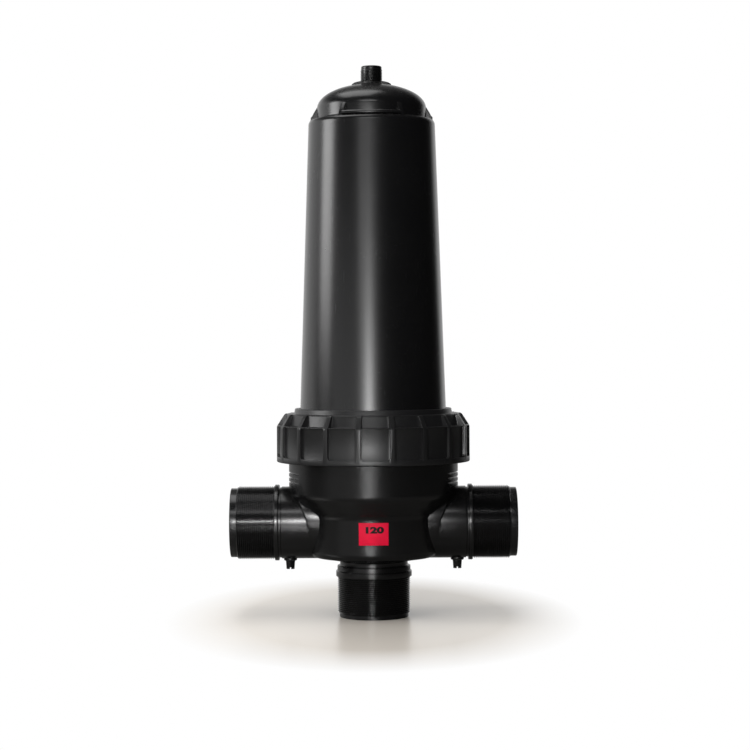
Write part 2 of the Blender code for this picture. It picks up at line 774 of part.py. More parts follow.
def lug_tools():
    """The ribs round the dome, and the curved bar that joins each pair of them."""
    tip = COVER_TOP_RADIUS - RIB_INSET
    root = DOME_RADIUS - DOME_WALL / 2
    top = DOME_SPRING_Z + RIB_RISE
    tools = []
    profile = [
        (root, DOME_Z),
        (tip, SHOULDER_Z),
        (tip, SHOULDER_Z + RIB_RISE),
        ((tip + DOME_RADIUS) / 2 + RIB_BELLY, (SHOULDER_Z + top) / 2),
        (DOME_RADIUS, top),
        (root, top),
    ]
    half = RIB_THICKNESS / 2 / COVER_TOP_RADIUS
    for index in range(RIB_COUNT):
        turn = TURN * index / RIB_COUNT
        name = f"lug_rib_{index + 1}"
        mesh = sector_mesh(name, profile, turn - half, turn + half, 1)
        tools.append(add_object(name, mesh, None))
    reach = COVER_TOP_RADIUS - BAR_INSET
    low = DOME_Z + BAR_LIFT
    bar = [
        (root, DOME_Z - RIB_RISE),
        (reach - 2 * BAR_UNDERCUT, DOME_Z - RIB_RISE),
        (reach - BAR_UNDERCUT, low),
        (reach, low),
        (reach, low + BAR_HEIGHT / 2),
        (reach - BAR_UNDERCUT / 2, low + BAR_HEIGHT),
        (root, low + BAR_HEIGHT),
    ]
    bay = TURN / RIB_COUNT
    sweep = bay - half
    for index in range(RIB_COUNT // 2):
        turn = bay / 2 + 2 * bay * index
        name = f"lug_bar_{index + 1}"
        mesh = sector_mesh(name, bar, turn - sweep / 2, turn + sweep / 2, 7)
        tools.append(add_object(name, mesh, None))
    return tools


def make_cover(finishes, parent):
    """The tapered cover with its lugs and threaded vent neck."""
    cover = add_object("cover", turned_mesh("cover", cover_outline()), finishes["moulded"], parent)
    low = DOME_TOP_Z - DOME_WALL / 2
    webs = radial_bars(
        "vent_web",
        WEB_COUNT,
        VENT_RADIUS - VENT_FOOT / 2,
        VENT_RADIUS + WEB_LENGTH,
        WEB_THICKNESS,
        low,
        DOME_TOP_Z + WEB_HEIGHT,
    )
    tools = [*lug_tools(), *webs]
    for tool in tools:
        tool.parent = parent
    combine(cover, "UNION", *tools)
    ring = SPIGOT_RADIUS - COVER_SEAL_SECTION / 2
    seal_z = FLANGE_Z - SPIGOT_DEPTH / 2
    seal = seal_mesh("cover_seal", ring, COVER_SEAL_SECTION - SEAL_GAP, seal_z, LARGE_SIDES)
    add_object("cover_seal", seal, finishes["seal"], parent)
    return cover


def make_vent(finishes, seal_frame, plug_frame):
    """The domed plug that closes the vent neck, and the seal under its head."""
    ring = (VENT_BORE_RADIUS + VENT_SEAT_RADIUS) / 2
    seal = seal_mesh(
        "vent_seal", ring, VENT_SEAL_SECTION - SEAL_GAP, -VENT_SEAL_SECTION / 2, SMALL_SIDES
    )
    add_object("vent_seal", seal, finishes["seal"], seal_frame)
    head = VENT_RADIUS - VENT_HEAD_INSET
    top = SEAT_GAP + VENT_HEAD_HEIGHT
    outline = [
        (0, -VENT_SHANK_LENGTH),
        (VENT_SHANK_RADIUS, -VENT_SHANK_LENGTH),
        (VENT_SHANK_RADIUS, SEAT_GAP),
        (head, SEAT_GAP),
        *arc(head - VENT_HEAD_HEIGHT / 2, top - VENT_HEAD_HEIGHT / 2,
             VENT_HEAD_HEIGHT / 2, VENT_HEAD_HEIGHT / 2, 0, TURN / 4, 3),
        (0, top),
    ]
    plug = add_object(
        "vent_plug", turned_mesh("vent_plug", outline, SMALL_SIDES), finishes["gloss"], plug_frame
    )
    socket = prism_mesh(
        "vent_socket",
        circle_points(VENT_SOCKET_WIDTH / 2, 6),
        top - VENT_SOCKET_DEPTH,
        top + VENT_HEAD_HEIGHT,
    )
    combine(plug, "DIFFERENCE", add_object("vent_socket", socket, None, plug_frame))
    return plug


# The clamp nut

def nut_levels():
    """The nut's rings from its bore up the outside and back: radius on a rib, in a valley, height."""
    low = NECK_TOP_Z
    band = low + NUT_BAND_HEIGHT
    ledge = NUT_TOP_Z - NUT_LEDGE_DROP
    top_radius = NUT_RADIUS - NUT_TOP_INSET
    lip_outer = NUT_EYE_RADIUS + NUT_LIP_WALL
    valley_top = top_radius - NUT_RIB_HEIGHT
    return [
        (NUT_BORE_RADIUS, NUT_BORE_RADIUS, NUT_WEB_Z),
        (NUT_BORE_RADIUS, NUT_BORE_RADIUS, low),
        (NUT_RADIUS - NUT_CHAMFER, NUT_RADIUS - NUT_CHAMFER, low),
        (NUT_RADIUS, NUT_RADIUS, low + NUT_CHAMFER),
        (NUT_RADIUS, NUT_RADIUS, band),
        (NUT_RADIUS, NUT_PANEL_RADIUS, band + NUT_CHAMFER),
        (NUT_RADIUS, NUT_PANEL_RADIUS, ledge),
        (NUT_RADIUS - NUT_CHAMFER, NUT_PANEL_RADIUS - NUT_VALLEY_DEPTH, ledge + NUT_CHAMFER),
        (top_radius, valley_top, NUT_TOP_Z - NUT_CHAMFER),
        (top_radius - NUT_CHAMFER, valley_top - NUT_CHAMFER, NUT_TOP_Z),
        (lip_outer, lip_outer, NUT_TOP_Z),
        (lip_outer - NUT_CHAMFER, lip_outer - NUT_CHAMFER, NUT_TOP_Z + NUT_LIP_HEIGHT),
        (NUT_EYE_RADIUS, NUT_EYE_RADIUS, NUT_TOP_Z + NUT_LIP_HEIGHT),
        (NUT_EYE_RADIUS, NUT_EYE_RADIUS, NUT_WEB_Z),
    ]


def nut_stations():
    """(angle, is on a rib) round the nut: two points on each rib and more across each valley."""
    half = NUT_RIB_WIDTH / 2 / NUT_RADIUS
    flank = half * NUT_RIB_FLARE
    bay = TURN / NUT_RIB_COUNT
    steps = math.ceil((bay - 2 * flank) / NUT_FACET)
    stations = []
    for index in range(NUT_RIB_COUNT):
        middle = NUT_RIB_TURN + bay * index
        stations += [(middle - half, True), (middle + half, True)]
        for step in range(steps + 1):
            stations.append((middle + flank + (bay - 2 * flank) * step / steps, False))
    return stations


def make_nut(finishes, parent):
    """The ribbed ring that draws the cover's flange down on the base."""
    bm = bmesh.new()
    rings = []
    stations = nut_stations()
    for on_rib, in_valley, z in nut_levels():
        ring = []
        for angle, rib in stations:
            radius = on_rib if rib else in_valley
            ring.append(bm.verts.new((radius * math.cos(angle), radius * math.sin(angle), z)))
        rings.append(ring)
    bridge_rings(bm, [*rings, rings[0]])
    mesh = mesh_of("clamp_nut", bm)
    return add_object("clamp_nut", mesh, finishes["nut"], parent)


# The filter element

def make_spine(finishes, parent):
    """The element's spine: a spigot and flange, a finned core and a threaded stud."""
    outer = BORE_RADIUS - SLIDING_FIT
    inner = outer - SPINE_WALL
    seal_z = SPINE_FLANGE_Z - SPIGOT_LENGTH / 2
    half_groove = SPINE_SEAL_SECTION / 2 + SEAL_GAP
    groove = outer - SPINE_SEAL_SECTION
    flange = DISC_RADIUS + SPINE_FLANGE_OVERHANG
    foot = turned_mesh(
        "spine",
        [
            (inner, SPINE_FLANGE_Z - SPIGOT_LENGTH),
            (outer, SPINE_FLANGE_Z - SPIGOT_LENGTH),
            (outer, seal_z - half_groove),
            (groove, seal_z - half_groove),
            (groove, seal_z + half_groove),
            (outer, seal_z + half_groove),
            (outer, SPINE_FLANGE_Z),
            (flange, SPINE_FLANGE_Z),
            (flange, ELEMENT_Z),
            (inner, ELEMENT_Z),
        ],
        INNER_SIDES,
    )
    spine = add_object("spine", foot, finishes["element"], parent)
    hub = SPINE_HUB_DIAMETER / 2
    hub_low = ELEMENT_Z - SPINE_FLANGE_THICKNESS / 2
    fins = radial_bars(
        "spine_fin",
        SPINE_FIN_COUNT,
        hub / 2,
        DISC_BORE_RADIUS - SLIDING_FIT,
        SPINE_FIN_THICKNESS,
        hub_low,
        SPINE_TOP_Z,
    )
    core = turned_mesh(
        "spine_core",
        [
            (0, hub_low),
            (hub, hub_low),
            (hub, SPINE_TOP_Z),
            (STUD_RADIUS, SPINE_TOP_Z),
            (STUD_RADIUS, STUD_TOP_Z),
            (0, STUD_TOP_Z),
        ],
        SMALL_SIDES,
    )
    combine(spine, "UNION", add_object("spine_core", core, None), *fins)
    seal = seal_mesh(
        "spine_seal",
        outer - SPINE_SEAL_SECTION / 2,
        SPINE_SEAL_SECTION - SEAL_GAP,
        seal_z,
        INNER_SIDES,
    )
    add_object("spine_seal", seal, finishes["seal"], parent)
    return spine


def make_swirl(finishes, parent):
    """The vaned ring on the spine's flange, which sets the water spinning."""
    inner = DISC_RADIUS + SLIDING_FIT
    outer = inner + SWIRL_WALL
    low = ELEMENT_Z + SEAT_GAP
    high = low + SWIRL_HEIGHT
    ring = turned_mesh(
        "swirl_ring", [(inner, low), (outer, low), (outer, high), (inner, high)], INNER_SIDES
    )
    swirl = add_object("swirl_ring", ring, finishes["element"], parent)
    vanes = []
    reach = COVER_INNER_RADIUS - SWIRL_GAP
    middle = (inner + outer) / 2
    for index in range(SWIRL_VANE_COUNT):
        turn = TURN * (index + 0.5) / SWIRL_VANE_COUNT
        vane = prism_mesh(
            f"swirl_vane_{index + 1}",
            [
                (middle, -SWIRL_VANE_THICKNESS / 2),
                (reach, -SWIRL_VANE_THICKNESS / 2),
                (reach, SWIRL_VANE_THICKNESS / 2),
                (middle, SWIRL_VANE_THICKNESS / 2),
            ],
            -SWIRL_HEIGHT / 2,
            SWIRL_HEIGHT / 2,
        )
        tilt = Matrix.Rotation(SWIRL_VANE_LEAN / 2, 4, "X")
        lift = Matrix.Translation((0, 0, (low + high) / 2))
        vane.transform(Matrix.Rotation(turn, 4, "Z") @ lift @ tilt)
        vanes.append(add_object(f"swirl_vane_{index + 1}", vane, None))
    combine(swirl, "UNION", *vanes)
    return swirl


def make_packs(finishes, parent):
    """The grooved discs, in packs that are threaded on the spine one on another."""
    inner = DISC_BORE_RADIUS
    for index in range(PACK_COUNT):
        low = ELEMENT_Z + SEAT_GAP + index * PACK_PITCH
        name = f"disc_pack_{index + 1:02d}"
        mesh = turned_mesh(
            name,
            [
                (inner, low),
                (DISC_RADIUS, low),
                (DISC_RADIUS, low + PACK_HEIGHT),
                (inner, low + PACK_HEIGHT),
            ],
            INNER_SIDES,
        )
        add_object(name, mesh, finishes["disc"], parent)


def make_plate(finishes, parent):
    """The plate that presses the discs together."""
    rim = DISC_RADIUS + PLATE_OVERHANG
    hub = PLATE_HUB_DIAMETER / 2
    low = PLATE_Z
    mesh = turned_mesh(
        "press_plate",
        [
            (STUD_HOLE_RADIUS, low),
            (rim, low),
            (rim, low + PLATE_THICKNESS),
            (hub, low + PLATE_THICKNESS),
            (hub, PLATE_TOP_Z),
            (STUD_HOLE_RADIUS, PLATE_TOP_Z),
        ],
        INNER_SIDES,
    )
    return add_object("press_plate", mesh, finishes["element"], parent)


def make_wing_nut(finishes, washer_frame, nut_frame):
    """The washer and the winged nut that tighten the element."""
    washer = turned_mesh(
        "thrust_washer",
        [
            (STUD_HOLE_RADIUS, 0),
            (WASHER_DIAMETER / 2, 0),
            (WASHER_DIAMETER / 2, WASHER_THICKNESS),
            (STUD_HOLE_RADIUS, WASHER_THICKNESS),
        ],
        SMALL_SIDES,
    )
    add_object("thrust_washer", washer, finishes["seal"], washer_frame)
    hub = WING_HUB_DIAMETER / 2
    body = turned_mesh(
        "wing_nut",
        [
            (STUD_HOLE_RADIUS, 0),
            (hub, 0),
            (hub, WING_HEIGHT),
            (STUD_HOLE_RADIUS, WING_HEIGHT),
        ],
        SMALL_SIDES,
    )
    nut = add_object("wing_nut", body, finishes["gloss"], nut_frame)
    wings = radial_bars(
        "wing",
        WING_COUNT,
        (hub + STUD_HOLE_RADIUS) / 2,
        WING_REACH,
        WING_THICKNESS,
        WING_THICKNESS / 2,
        WING_HEIGHT - WING_THICKNESS / 2,
    )
    for wing in wings:
        wing.parent = nut_frame
    combine(nut, "UNION", *wings)
    return nut


def main():
    """Builds every piece in its place."""
    clear_scene()
    finishes = make_finishes()
    filter_frame = add_frame("filter_frame", 0)
    cover_frame = add_frame("cover_frame", 0, parent=filter_frame)
    nut_frame = add_frame("nut_frame", 0, parent=cover_frame)
    make_base(finishes, filter_frame)
    make_label(finishes, filter_frame)
    for side, sign in (("right", 1), ("left", -1)):
        seal_frame = add_frame(f"tap_seal_frame_{side}", TAP_PAD_Z, sign * TAP_PLACE, filter_frame)
        plug_frame = add_frame(f"tap_plug_frame_{side}", 0, 0, seal_frame)
        make_tap(side, finishes, seal_frame, plug_frame)
    make_cover(finishes, cover_frame)
    make_nut(finishes, nut_frame)
    vent_seal_frame = add_frame("vent_seal_frame", VENT_TOP_Z, parent=cover_frame)
    vent_plug_frame = add_frame("vent_plug_frame", 0, parent=vent_seal_frame)
    make_vent(finishes, vent_seal_frame, vent_plug_frame)
    make_spine(finishes, filter_frame)
    make_swirl(finishes, filter_frame)
    make_packs(finishes, filter_frame)
    make_plate(finishes, filter_frame)
    washer_frame = add_frame("washer_frame", WASHER_Z, parent=filter_frame)
    wing_frame = add_frame("wing_frame", WING_Z - WASHER_Z, parent=washer_frame)
    make_wing_nut(finishes, washer_frame, wing_frame)


main()
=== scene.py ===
"""An irrigation disc filter, dressed and lit for its picture.

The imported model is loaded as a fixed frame. Smooth turned pieces stand for its faceted
solids, each on the same body and in the same place, and every surface gets a finish.
Sizes below are in millimetres, and meshes are in metres, as the frame is. Points of a mesh
that are closer than SAME, in metres, are one.
"""

import logging
import math
from collections.abc import Callable
from dataclasses import dataclass, field
from enum import Enum

import bpy
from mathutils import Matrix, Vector


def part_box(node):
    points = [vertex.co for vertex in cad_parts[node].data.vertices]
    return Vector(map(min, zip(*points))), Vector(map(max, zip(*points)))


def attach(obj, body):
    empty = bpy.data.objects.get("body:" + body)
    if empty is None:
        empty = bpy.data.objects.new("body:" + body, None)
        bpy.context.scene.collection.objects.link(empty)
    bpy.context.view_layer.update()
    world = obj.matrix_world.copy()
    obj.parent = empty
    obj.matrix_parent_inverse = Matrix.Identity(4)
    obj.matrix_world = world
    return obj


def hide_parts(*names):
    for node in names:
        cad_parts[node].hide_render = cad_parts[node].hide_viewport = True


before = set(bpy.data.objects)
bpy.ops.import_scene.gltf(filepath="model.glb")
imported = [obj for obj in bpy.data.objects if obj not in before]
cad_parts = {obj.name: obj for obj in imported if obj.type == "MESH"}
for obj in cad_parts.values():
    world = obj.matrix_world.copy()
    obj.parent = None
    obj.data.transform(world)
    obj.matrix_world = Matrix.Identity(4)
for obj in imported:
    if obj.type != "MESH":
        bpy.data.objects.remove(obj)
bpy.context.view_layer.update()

MM = 0.001
TURN = 2 * math.pi
SAME = 1e-6
LOG = logging.getLogger("disc_filter")

Point = tuple[float, float]
Corner = tuple[float, ...]
Piece = bpy.types.Object


class Axis(Enum):
    """The two lines that turned pieces are spun round."""

    UPRIGHT = (0, 0, 1)
    ALONG_PORTS = (1, 0, 0)


class Join(Enum):
    """How a tool changes the piece it is used on."""

    ADD = "UNION"
    CUT = "DIFFERENCE"


class Side(Enum):
    """Which of the two side ports a piece belongs to."""

    LEFT = -1
    RIGHT = 1


# Shader building


class Signal:
    """A shader socket that is reckoned with as if it were a number."""

    def __init__(self, board: "Board", socket: bpy.types.NodeSocket) -> None:
        """Keeps the socket and the board it belongs to."""
        self.board = board
        self.socket = socket

    def _reckon(self, operation: str, first: "float | Signal", second: "float | Signal") -> "Signal":
        """Adds one Math node.

        Args:
            operation: the Math node's operation.
            first: its first value or link.
            second: its second value or link.

        Returns:
            The node's result.
        """
        return self.board.add("ShaderNodeMath", {"operation": operation}, {0: first, 1: second})

    def __add__(self, other: "float | Signal") -> "Signal":
        """This plus other."""
        return self._reckon("ADD", self, other)

    def __radd__(self, other: float) -> "Signal":
        """Other plus this."""
        return self._reckon("ADD", other, self)

    def __sub__(self, other: "float | Signal") -> "Signal":
        """This less other."""
        return self._reckon("SUBTRACT", self, other)

    def __rsub__(self, other: float) -> "Signal":
        """Other less this."""
        return self._reckon("SUBTRACT", other, self)

    def __mul__(self, other: "float | Signal") -> "Signal":
        """This times other."""
        return self._reckon("MULTIPLY", self, other)

    def __rmul__(self, other: float) -> "Signal":
        """Other times this."""
        return self._reckon("MULTIPLY", other, self)

    def at_most(self, other: float) -> "Signal":
        """The smaller of this and other."""
        return self._reckon("MINIMUM", self, other)


class Board:
    """The node tree of one material, or of the world, while it is being wired."""

    def __init__(self, tree: bpy.types.NodeTree) -> None:
        """Empties the tree."""
        self.tree = tree
        tree.nodes.clear()

    def add(self, kind: str, settings: dict | None = None, sockets: dict | None = None,
            output: int | str = 0) -> Signal:
        """Adds one node of any other kind.

        Args:
            kind: the node's type.
            settings: its own settings; "stops" are a colour ramp's (place, grey) pairs.
            sockets: values or links for its inputs, by name or number.
            output: which output is handed back.

        Returns:
            That output.
        """
        node = self.tree.nodes.new(kind)
        for key, value in (settings or {}).items():
            if key == "stops":
                ramp = node.color_ramp.elements
                for index, (place, grey) in enumerate(value):
                    stop = ramp[index] if index < 2 else ramp.new(place)
                    stop.position = place
                    stop.color = (grey, grey, grey, 1)
            else:
                setattr(node, key, value)
        for key, value in (sockets or {}).items():
            if isinstance(value, Signal):
                self.tree.links.new(value.socket, node.inputs[key])
            else:
                node.inputs[key].default_value = value
        return Signal(self, node.outputs[output])

    def place(self, scale: Corner = (1, 1, 1), turn: Corner = (0, 0, 0)) -> Signal:
        """The point on the piece, stretched and turned for a pattern."""
        here = self.add("ShaderNodeTexCoord", output="Object")
        return self.add("ShaderNodeMapping", sockets={"Vector": here, "Scale": scale, "Rotation": turn})

    def noise(self, where: Signal, scale: float, detail: float = 2, roughness: float = 0.5) -> Signal:
        """Cloudy noise between 0 and 1, with scale in features to the metre."""
        sockets = {"Vector": where, "Scale": scale, "Detail": detail, "Roughness": roughness}
        return self.add("ShaderNodeTexNoise", None, sockets)

    def ramp(self, value: Signal, *stops: Point) -> Signal:
        """A soft step through the (place, grey) stops."""
        return self.add("ShaderNodeValToRGB", {"stops": stops}, {"Fac": value})

    def bump(self, height: Signal, distance: float, below: Signal | None = None) -> Signal:
        """A normal that follows a height of 1 for a distance in millimetres, on one below it."""
        sockets = {"Strength": 1.0, "Distance": distance * MM, "Height": height}
        if below is not None:
            sockets["Normal"] = below
        return self.add("ShaderNodeBump", None, sockets, "Normal")

    def end(self, shader: Signal, kind: str = "ShaderNodeOutputMaterial") -> None:
        """Adds the output node and links the shader to it."""
        out = self.tree.nodes.new(kind)
        self.tree.links.new(shader.socket, out.inputs["Surface"])

    def blend(self, share: "float | Signal", first: "Corner | Signal", second: "Corner | Signal") -> Signal:
        """A colour between two."""
        mix = self.tree.nodes.new("ShaderNodeMix")
        mix.data_type = "RGBA"
        for key, value in (("Factor", share), ("A", first), ("B", second)):
            socket = next(s for s in mix.inputs if s.name == key and s.enabled)
            if isinstance(value, Signal):
                self.tree.links.new(value.socket, socket)
            else:
                socket.default_value = value if key == "Factor" else (*value, 1)
        return Signal(self, next(s for s in mix.outputs if s.enabled))


# Finishes


@dataclass(frozen=True)
class Finish:
    """A finish that clouds between two linear colours. Its bump heights are in millimetres."""

    name: str
    colour: Corner
    shade: Corner
    roughness: float

    def wire(self, board: Board) -> Signal:
        """The surface shader, which each kind of finish wires in its own way."""
        raise NotImplementedError

    def make(self) -> bpy.types.Material:
        """Makes the material.

        Returns:
            The new material.
        """
        material = bpy.data.materials.new(self.name)
        material.use_nodes = True
        board = Board(material.node_tree)
        board.end(self.wire(board))
        material.diffuse_color = (*self.colour, 1)
        return material


@dataclass(frozen=True)
class MouldedFinish(Finish):
    """Black plastic as it leaves the mould, with fine grain, slow ripples, scuffs and dust."""

    spread: float = 0.06
    grain: float = 0.0022
    ripple: float = 0.03
    scuffs: float = 0.02
    dust: float = 0.03
    scuff_tone: Corner = (0.12, 0.12, 0.125)
    dust_tone: Corner = (0.2, 0.19, 0.175)

    def wire(self, board: Board) -> Signal:
        """Wires the finish.

        Args:
            board: the material's board.

        Returns:
            The surface shader.
        """
        here = board.place()
        cloud = board.noise(here, 22, 3)
        blotch = board.noise(here, 140, 4, 0.6)
        grain = board.noise(here, 2600, 2, 0.6)
        along = board.noise(board.place((700, 700, 26)), 1, 3, 0.55)
        across = board.noise(board.place((34, 900, 700), (0.5, 0.2, 0.7)), 1, 3, 0.55)
        scuff = board.ramp(along, (0.66, 0), (0.74, 1)) + board.ramp(across, (0.67, 0), (0.75, 1))
        scuff = scuff.at_most(1.0)
        facing = board.add("ShaderNodeNewGeometry", output="Normal")
        up = board.add("ShaderNodeSeparateXYZ", None, {0: facing}, "Z")
        dust = board.ramp(up, (0.45, 0), (0.95, 1)) * board.ramp(blotch, (0.35, 0.2), (0.7, 1)) * self.dust
        tone = board.blend(cloud * 0.55 + blotch * 0.25, self.colour, self.shade)
        tone = board.blend(scuff * self.scuffs, tone, self.scuff_tone)
        tone = board.blend(dust, tone, self.dust_tone)
        roughness = self.roughness + (cloud - 0.5) * self.spread + (blotch - 0.5) * self.spread * 0.8
        roughness = (roughness + scuff * self.scuffs * 0.9 + dust * 0.6).at_most(0.9)
        slow = board.bump(cloud, self.ripple)
        fine = board.bump(grain + blotch * 0.8 - scuff * 0.4, self.grain, slow)
        return board.add("ShaderNodeBsdfPrincipled", None, {
            "Base Color": tone, "Roughness": roughness, "Normal": fine})


@dataclass(frozen=True)
class SoftFinish(Finish):
    """Rubber, dyed plastic or another plain surface with cloudy colour and a fine skin."""

    grain: float = 0.02
    size: float = 900
    gloss: float = 0.5

    def wire(self, board: Board) -> Signal:
        """Wires the finish.

        Args:
            board: the material's board.

        Returns:
            The surface shader.
        """
        here = board.place()
        cloud = board.noise(here, 60, 4, 0.6)
        grain = board.noise(here, self.size, 3, 0.6)
        tone = board.blend(board.ramp(cloud, (0.35, 0), (0.7, 1)), self.colour, self.shade)
        return board.add("ShaderNodeBsdfPrincipled", None, {
            "Base Color": tone, "Roughness": self.roughness + (grain - 0.5) * 0.15,
            "Specular IOR Level": self.gloss, "Normal": board.bump(grain + cloud, self.grain)})


@dataclass(frozen=True)
class DiscFinish(Finish):
    """Red plastic discs: each pack shows the edges of its thin discs as fine rings, with painted shade in
    the gaps between them.
    """

    pitch: float = 0.87
    relief: float = 0.25
    # The painted shade in the gap between two discs.
    gap_shade_tone: Corner = (0.08, 0.003, 0.004)

    def wire(self, board: Board) -> Signal:
        """Wires the finish.

        Args:
            board: the material's board.

        Returns:
            The surface shader.
        """
        here = board.place()
        half = self.pitch * MM / 2
        height = board.add("ShaderNodeSeparateXYZ", None, {0: here}, "Z")
        ring = board.add("ShaderNodeMath", {"operation": "PINGPONG"}, {0: height, 1: half})
        # edge is 0 where two discs meet: there the colour turns to the painted gap shade, and the bump
        # sinks.
        edge = board.ramp(ring * (1 / half), (0.0, 0), (0.3, 1))
        cloud = board.noise(here, 90, 3)
        tone = board.blend(board.ramp(cloud, (0.3, 0), (0.7, 1)), self.colour, self.shade)
        return board.add("ShaderNodeBsdfPrincipled", None, {
            "Base Color": board.blend(edge, self.gap_shade_tone, tone),
            "Roughness": self.roughness + (cloud - 0.5) * 0.2, "Normal": board.bump(edge, self.relief)})


class Finishes:
    """Every finish, made once and handed to the pieces by name."""

    def __init__(self) -> None:
        """Makes the materials."""
        self.moulded = MouldedFinish(
            "moulded_black", (0.0016, 0.0016, 0.0018), (0.0034, 0.0034, 0.0036), 0.25).make()
        self.cover = MouldedFinish(
            "cover_black", (0.0024, 0.0024, 0.0026), (0.0046, 0.0046, 0.0048), 0.26,
            spread=0.04, ripple=0.05).make()
        self.nut = MouldedFinish(
            "nut_black", (0.0045, 0.0045, 0.0047), (0.008, 0.008, 0.0083), 0.38,
            spread=0.07, grain=0.005, scuffs=0.06).make()
        # The threads are of their parts' own plastic, made darker than the moulded black as painted shade
        # in their grooves, and glossier.
        self.thread = MouldedFinish(
            "thread_black_painted_shade", (0.0012, 0.0012, 0.0013), (0.0024, 0.0024, 0.0026), 0.2,
            spread=0.05, grain=0.0015, ripple=0.02, dust=0.02).make()
        self.plug = MouldedFinish(
            "plug_black", (0.0015, 0.0015, 0.0016), (0.003, 0.003, 0.0032), 0.28).make()
        self.seal = SoftFinish("seal_rubber", (0.012, 0.012, 0.012), (0.022, 0.021, 0.02), 0.62).make()
        self.label = SoftFinish("label_red", (0.72, 0.006, 0.040), (0.62, 0.005, 0.034), 0.5,
                                grain=0.015, size=500, gloss=0.12).make()
        self.digit = SoftFinish("digit_black", (0.006, 0.004, 0.0045), (0.01, 0.006, 0.007), 0.5,
                                gloss=0.15).make()
        self.disc = DiscFinish("disc_red", (0.52, 0.02, 0.025), (0.42, 0.015, 0.02), 0.42).make()
        self.element = SoftFinish("element_grey", (0.16, 0.16, 0.165), (0.2, 0.2, 0.205), 0.45,
                                  size=1200).make()


# Modelling steps


class Bench:
    """The edit steps that all pieces are shaped with."""

    @staticmethod
    def clear() -> None:
        """Leaves edit mode with nothing selected."""
        if bpy.context.mode != "OBJECT":
            bpy.ops.object.mode_set(mode="OBJECT")
        bpy.ops.object.select_all(action="DESELECT")

    @staticmethod
    def take(obj: Piece) -> None:
        """Makes one object the only one selected and the active one."""
        Bench.clear()
        obj.select_set(True)
        bpy.context.view_layer.objects.active = obj

    @staticmethod
    def apply(obj: Piece, step: bpy.types.Modifier) -> None:
        """Applies one of an object's modifiers."""
        Bench.take(obj)
        bpy.ops.object.modifier_apply(modifier=step.name)

    @staticmethod
    def trace(name: str, points: list[Vector], closed: bool = True) -> Piece:
        """Draws a line of edges, point by point.

        Args:
            name: the new object's name.
            points: its points in metres.
            closed: True to end where it starts.

        Returns:
            The new object, left in edit mode with all of it selected.
        """
        Bench.clear()
        bpy.ops.mesh.primitive_plane_add(size=MM)
        obj = bpy.context.object
        obj.name = obj.data.name = name
        bpy.ops.object.mode_set(mode="EDIT")
        bpy.ops.mesh.select_all(action="SELECT")
        bpy.ops.mesh.merge(type="CENTER")
        bpy.ops.transform.translate(value=points[0])
        route = [*points, points[0]] if closed else points
        for before, after in zip(route, route[1:]):
            bpy.ops.mesh.extrude_region_move(TRANSFORM_OT_translate={"value": after - before})
        bpy.ops.mesh.select_all(action="SELECT")
        if closed:
            bpy.ops.mesh.remove_doubles(threshold=SAME)
        return obj

    @staticmethod
    def settle(obj: Piece) -> Piece:
        """Merges doubles, turns every face outwards and leaves edit mode."""
        if bpy.context.mode == "OBJECT":
            Bench.take(obj)
            bpy.ops.object.mode_set(mode="EDIT")
        bpy.ops.mesh.select_all(action="SELECT")
        bpy.ops.mesh.remove_doubles(threshold=2 * SAME)
        bpy.ops.mesh.normals_make_consistent(inside=False)
        bpy.ops.object.mode_set(mode="OBJECT")
        return obj

    @staticmethod
    def turned(name: str, outline: list[Point], steps: int, axis: Axis = Axis.UPRIGHT,
               height: float = 0.0) -> Piece:
        """Spins a closed outline of (radius, place along the axis) a whole turn.

        Args:
            name: the new object's name.
            outline: its half section, in millimetres.
            steps: how many steps the turn has.
            axis: the line it is spun round.
            height: how high that line lies, in millimetres, where it is along the ports.

        Returns:
            The turned piece.
        """
        if axis is Axis.UPRIGHT:
            points = [Vector((r, 0, z)) * MM for r, z in outline]
        else:
            points = [Vector((x, 0, height + r)) * MM for r, x in outline]
        obj = Bench.trace(name, points)
        bpy.ops.mesh.spin(steps=steps, angle=TURN, center=(0, 0, height * MM), axis=axis.value)
        return Bench.settle(obj)

    @staticmethod
    def wedge(name: str, outline: list[Point], middle: float, sweep: float, steps: int) -> Piece:
        """Spins a closed outline part of a turn round the upright axis.

        Args:
            name: the new object's name.
            outline: its section as (radius, height), in millimetres.
            middle: the angle of its middle, in radians from +X.
            sweep: the angle it spans.
            steps: how many steps that has.

        Returns:
            The closed wedge.
        """
        start = middle + sweep / 2
        out = Vector((math.cos(start), math.sin(start), 0))
        obj = Bench.trace(name, [(out * r + Vector((0, 0, z))) * MM for r, z in outline])
        bpy.ops.mesh.spin(steps=steps, angle=sweep, center=(0, 0, 0), axis=Axis.UPRIGHT.value)
        bpy.ops.mesh.select_all(action="SELECT")
        bpy.ops.mesh.remove_doubles(threshold=SAME)
        bpy.ops.mesh.fill_holes(sides=0)
        return Bench.settle(obj)

    @staticmethod
    def prism(name: str, corners: list[Vector], rise: Vector) -> Piece:
        """Extrudes a closed flat outline into a solid.

        Args:
            name: the new object's name.
            corners: the outline's points, in millimetres.
            rise: how far and which way it is extruded, in millimetres.

        Returns:
            The closed prism.
        """
        obj = Bench.trace(name, [c * MM for c in corners])
        bpy.ops.mesh.extrude_region_move(TRANSFORM_OT_translate={"value": rise * MM})
        bpy.ops.mesh.select_all(action="SELECT")
        bpy.ops.mesh.fill_holes(sides=0)
        return Bench.settle(obj)

    @staticmethod
    def use(target: Piece, join: Join, *tools: Piece) -> None:
        """Adds or cuts with several tools at once, and throws the tools away.

        Args:
            target: the piece that is changed.
            join: what the tools do to it.
            tools: the tools.
        """
        Bench.clear()
        box = bpy.data.collections.new("tools")
        for tool in tools:
            box.objects.link(tool)
        step = target.modifiers.new(join.value.lower(), "BOOLEAN")
        step.operation = join.value
        step.solver = "EXACT"
        step.operand_type = "COLLECTION"
        step.collection = box
        Bench.apply(target, step)
        for tool in tools:
            bpy.data.objects.remove(tool, do_unlink=True)
        bpy.data.collections.remove(box)

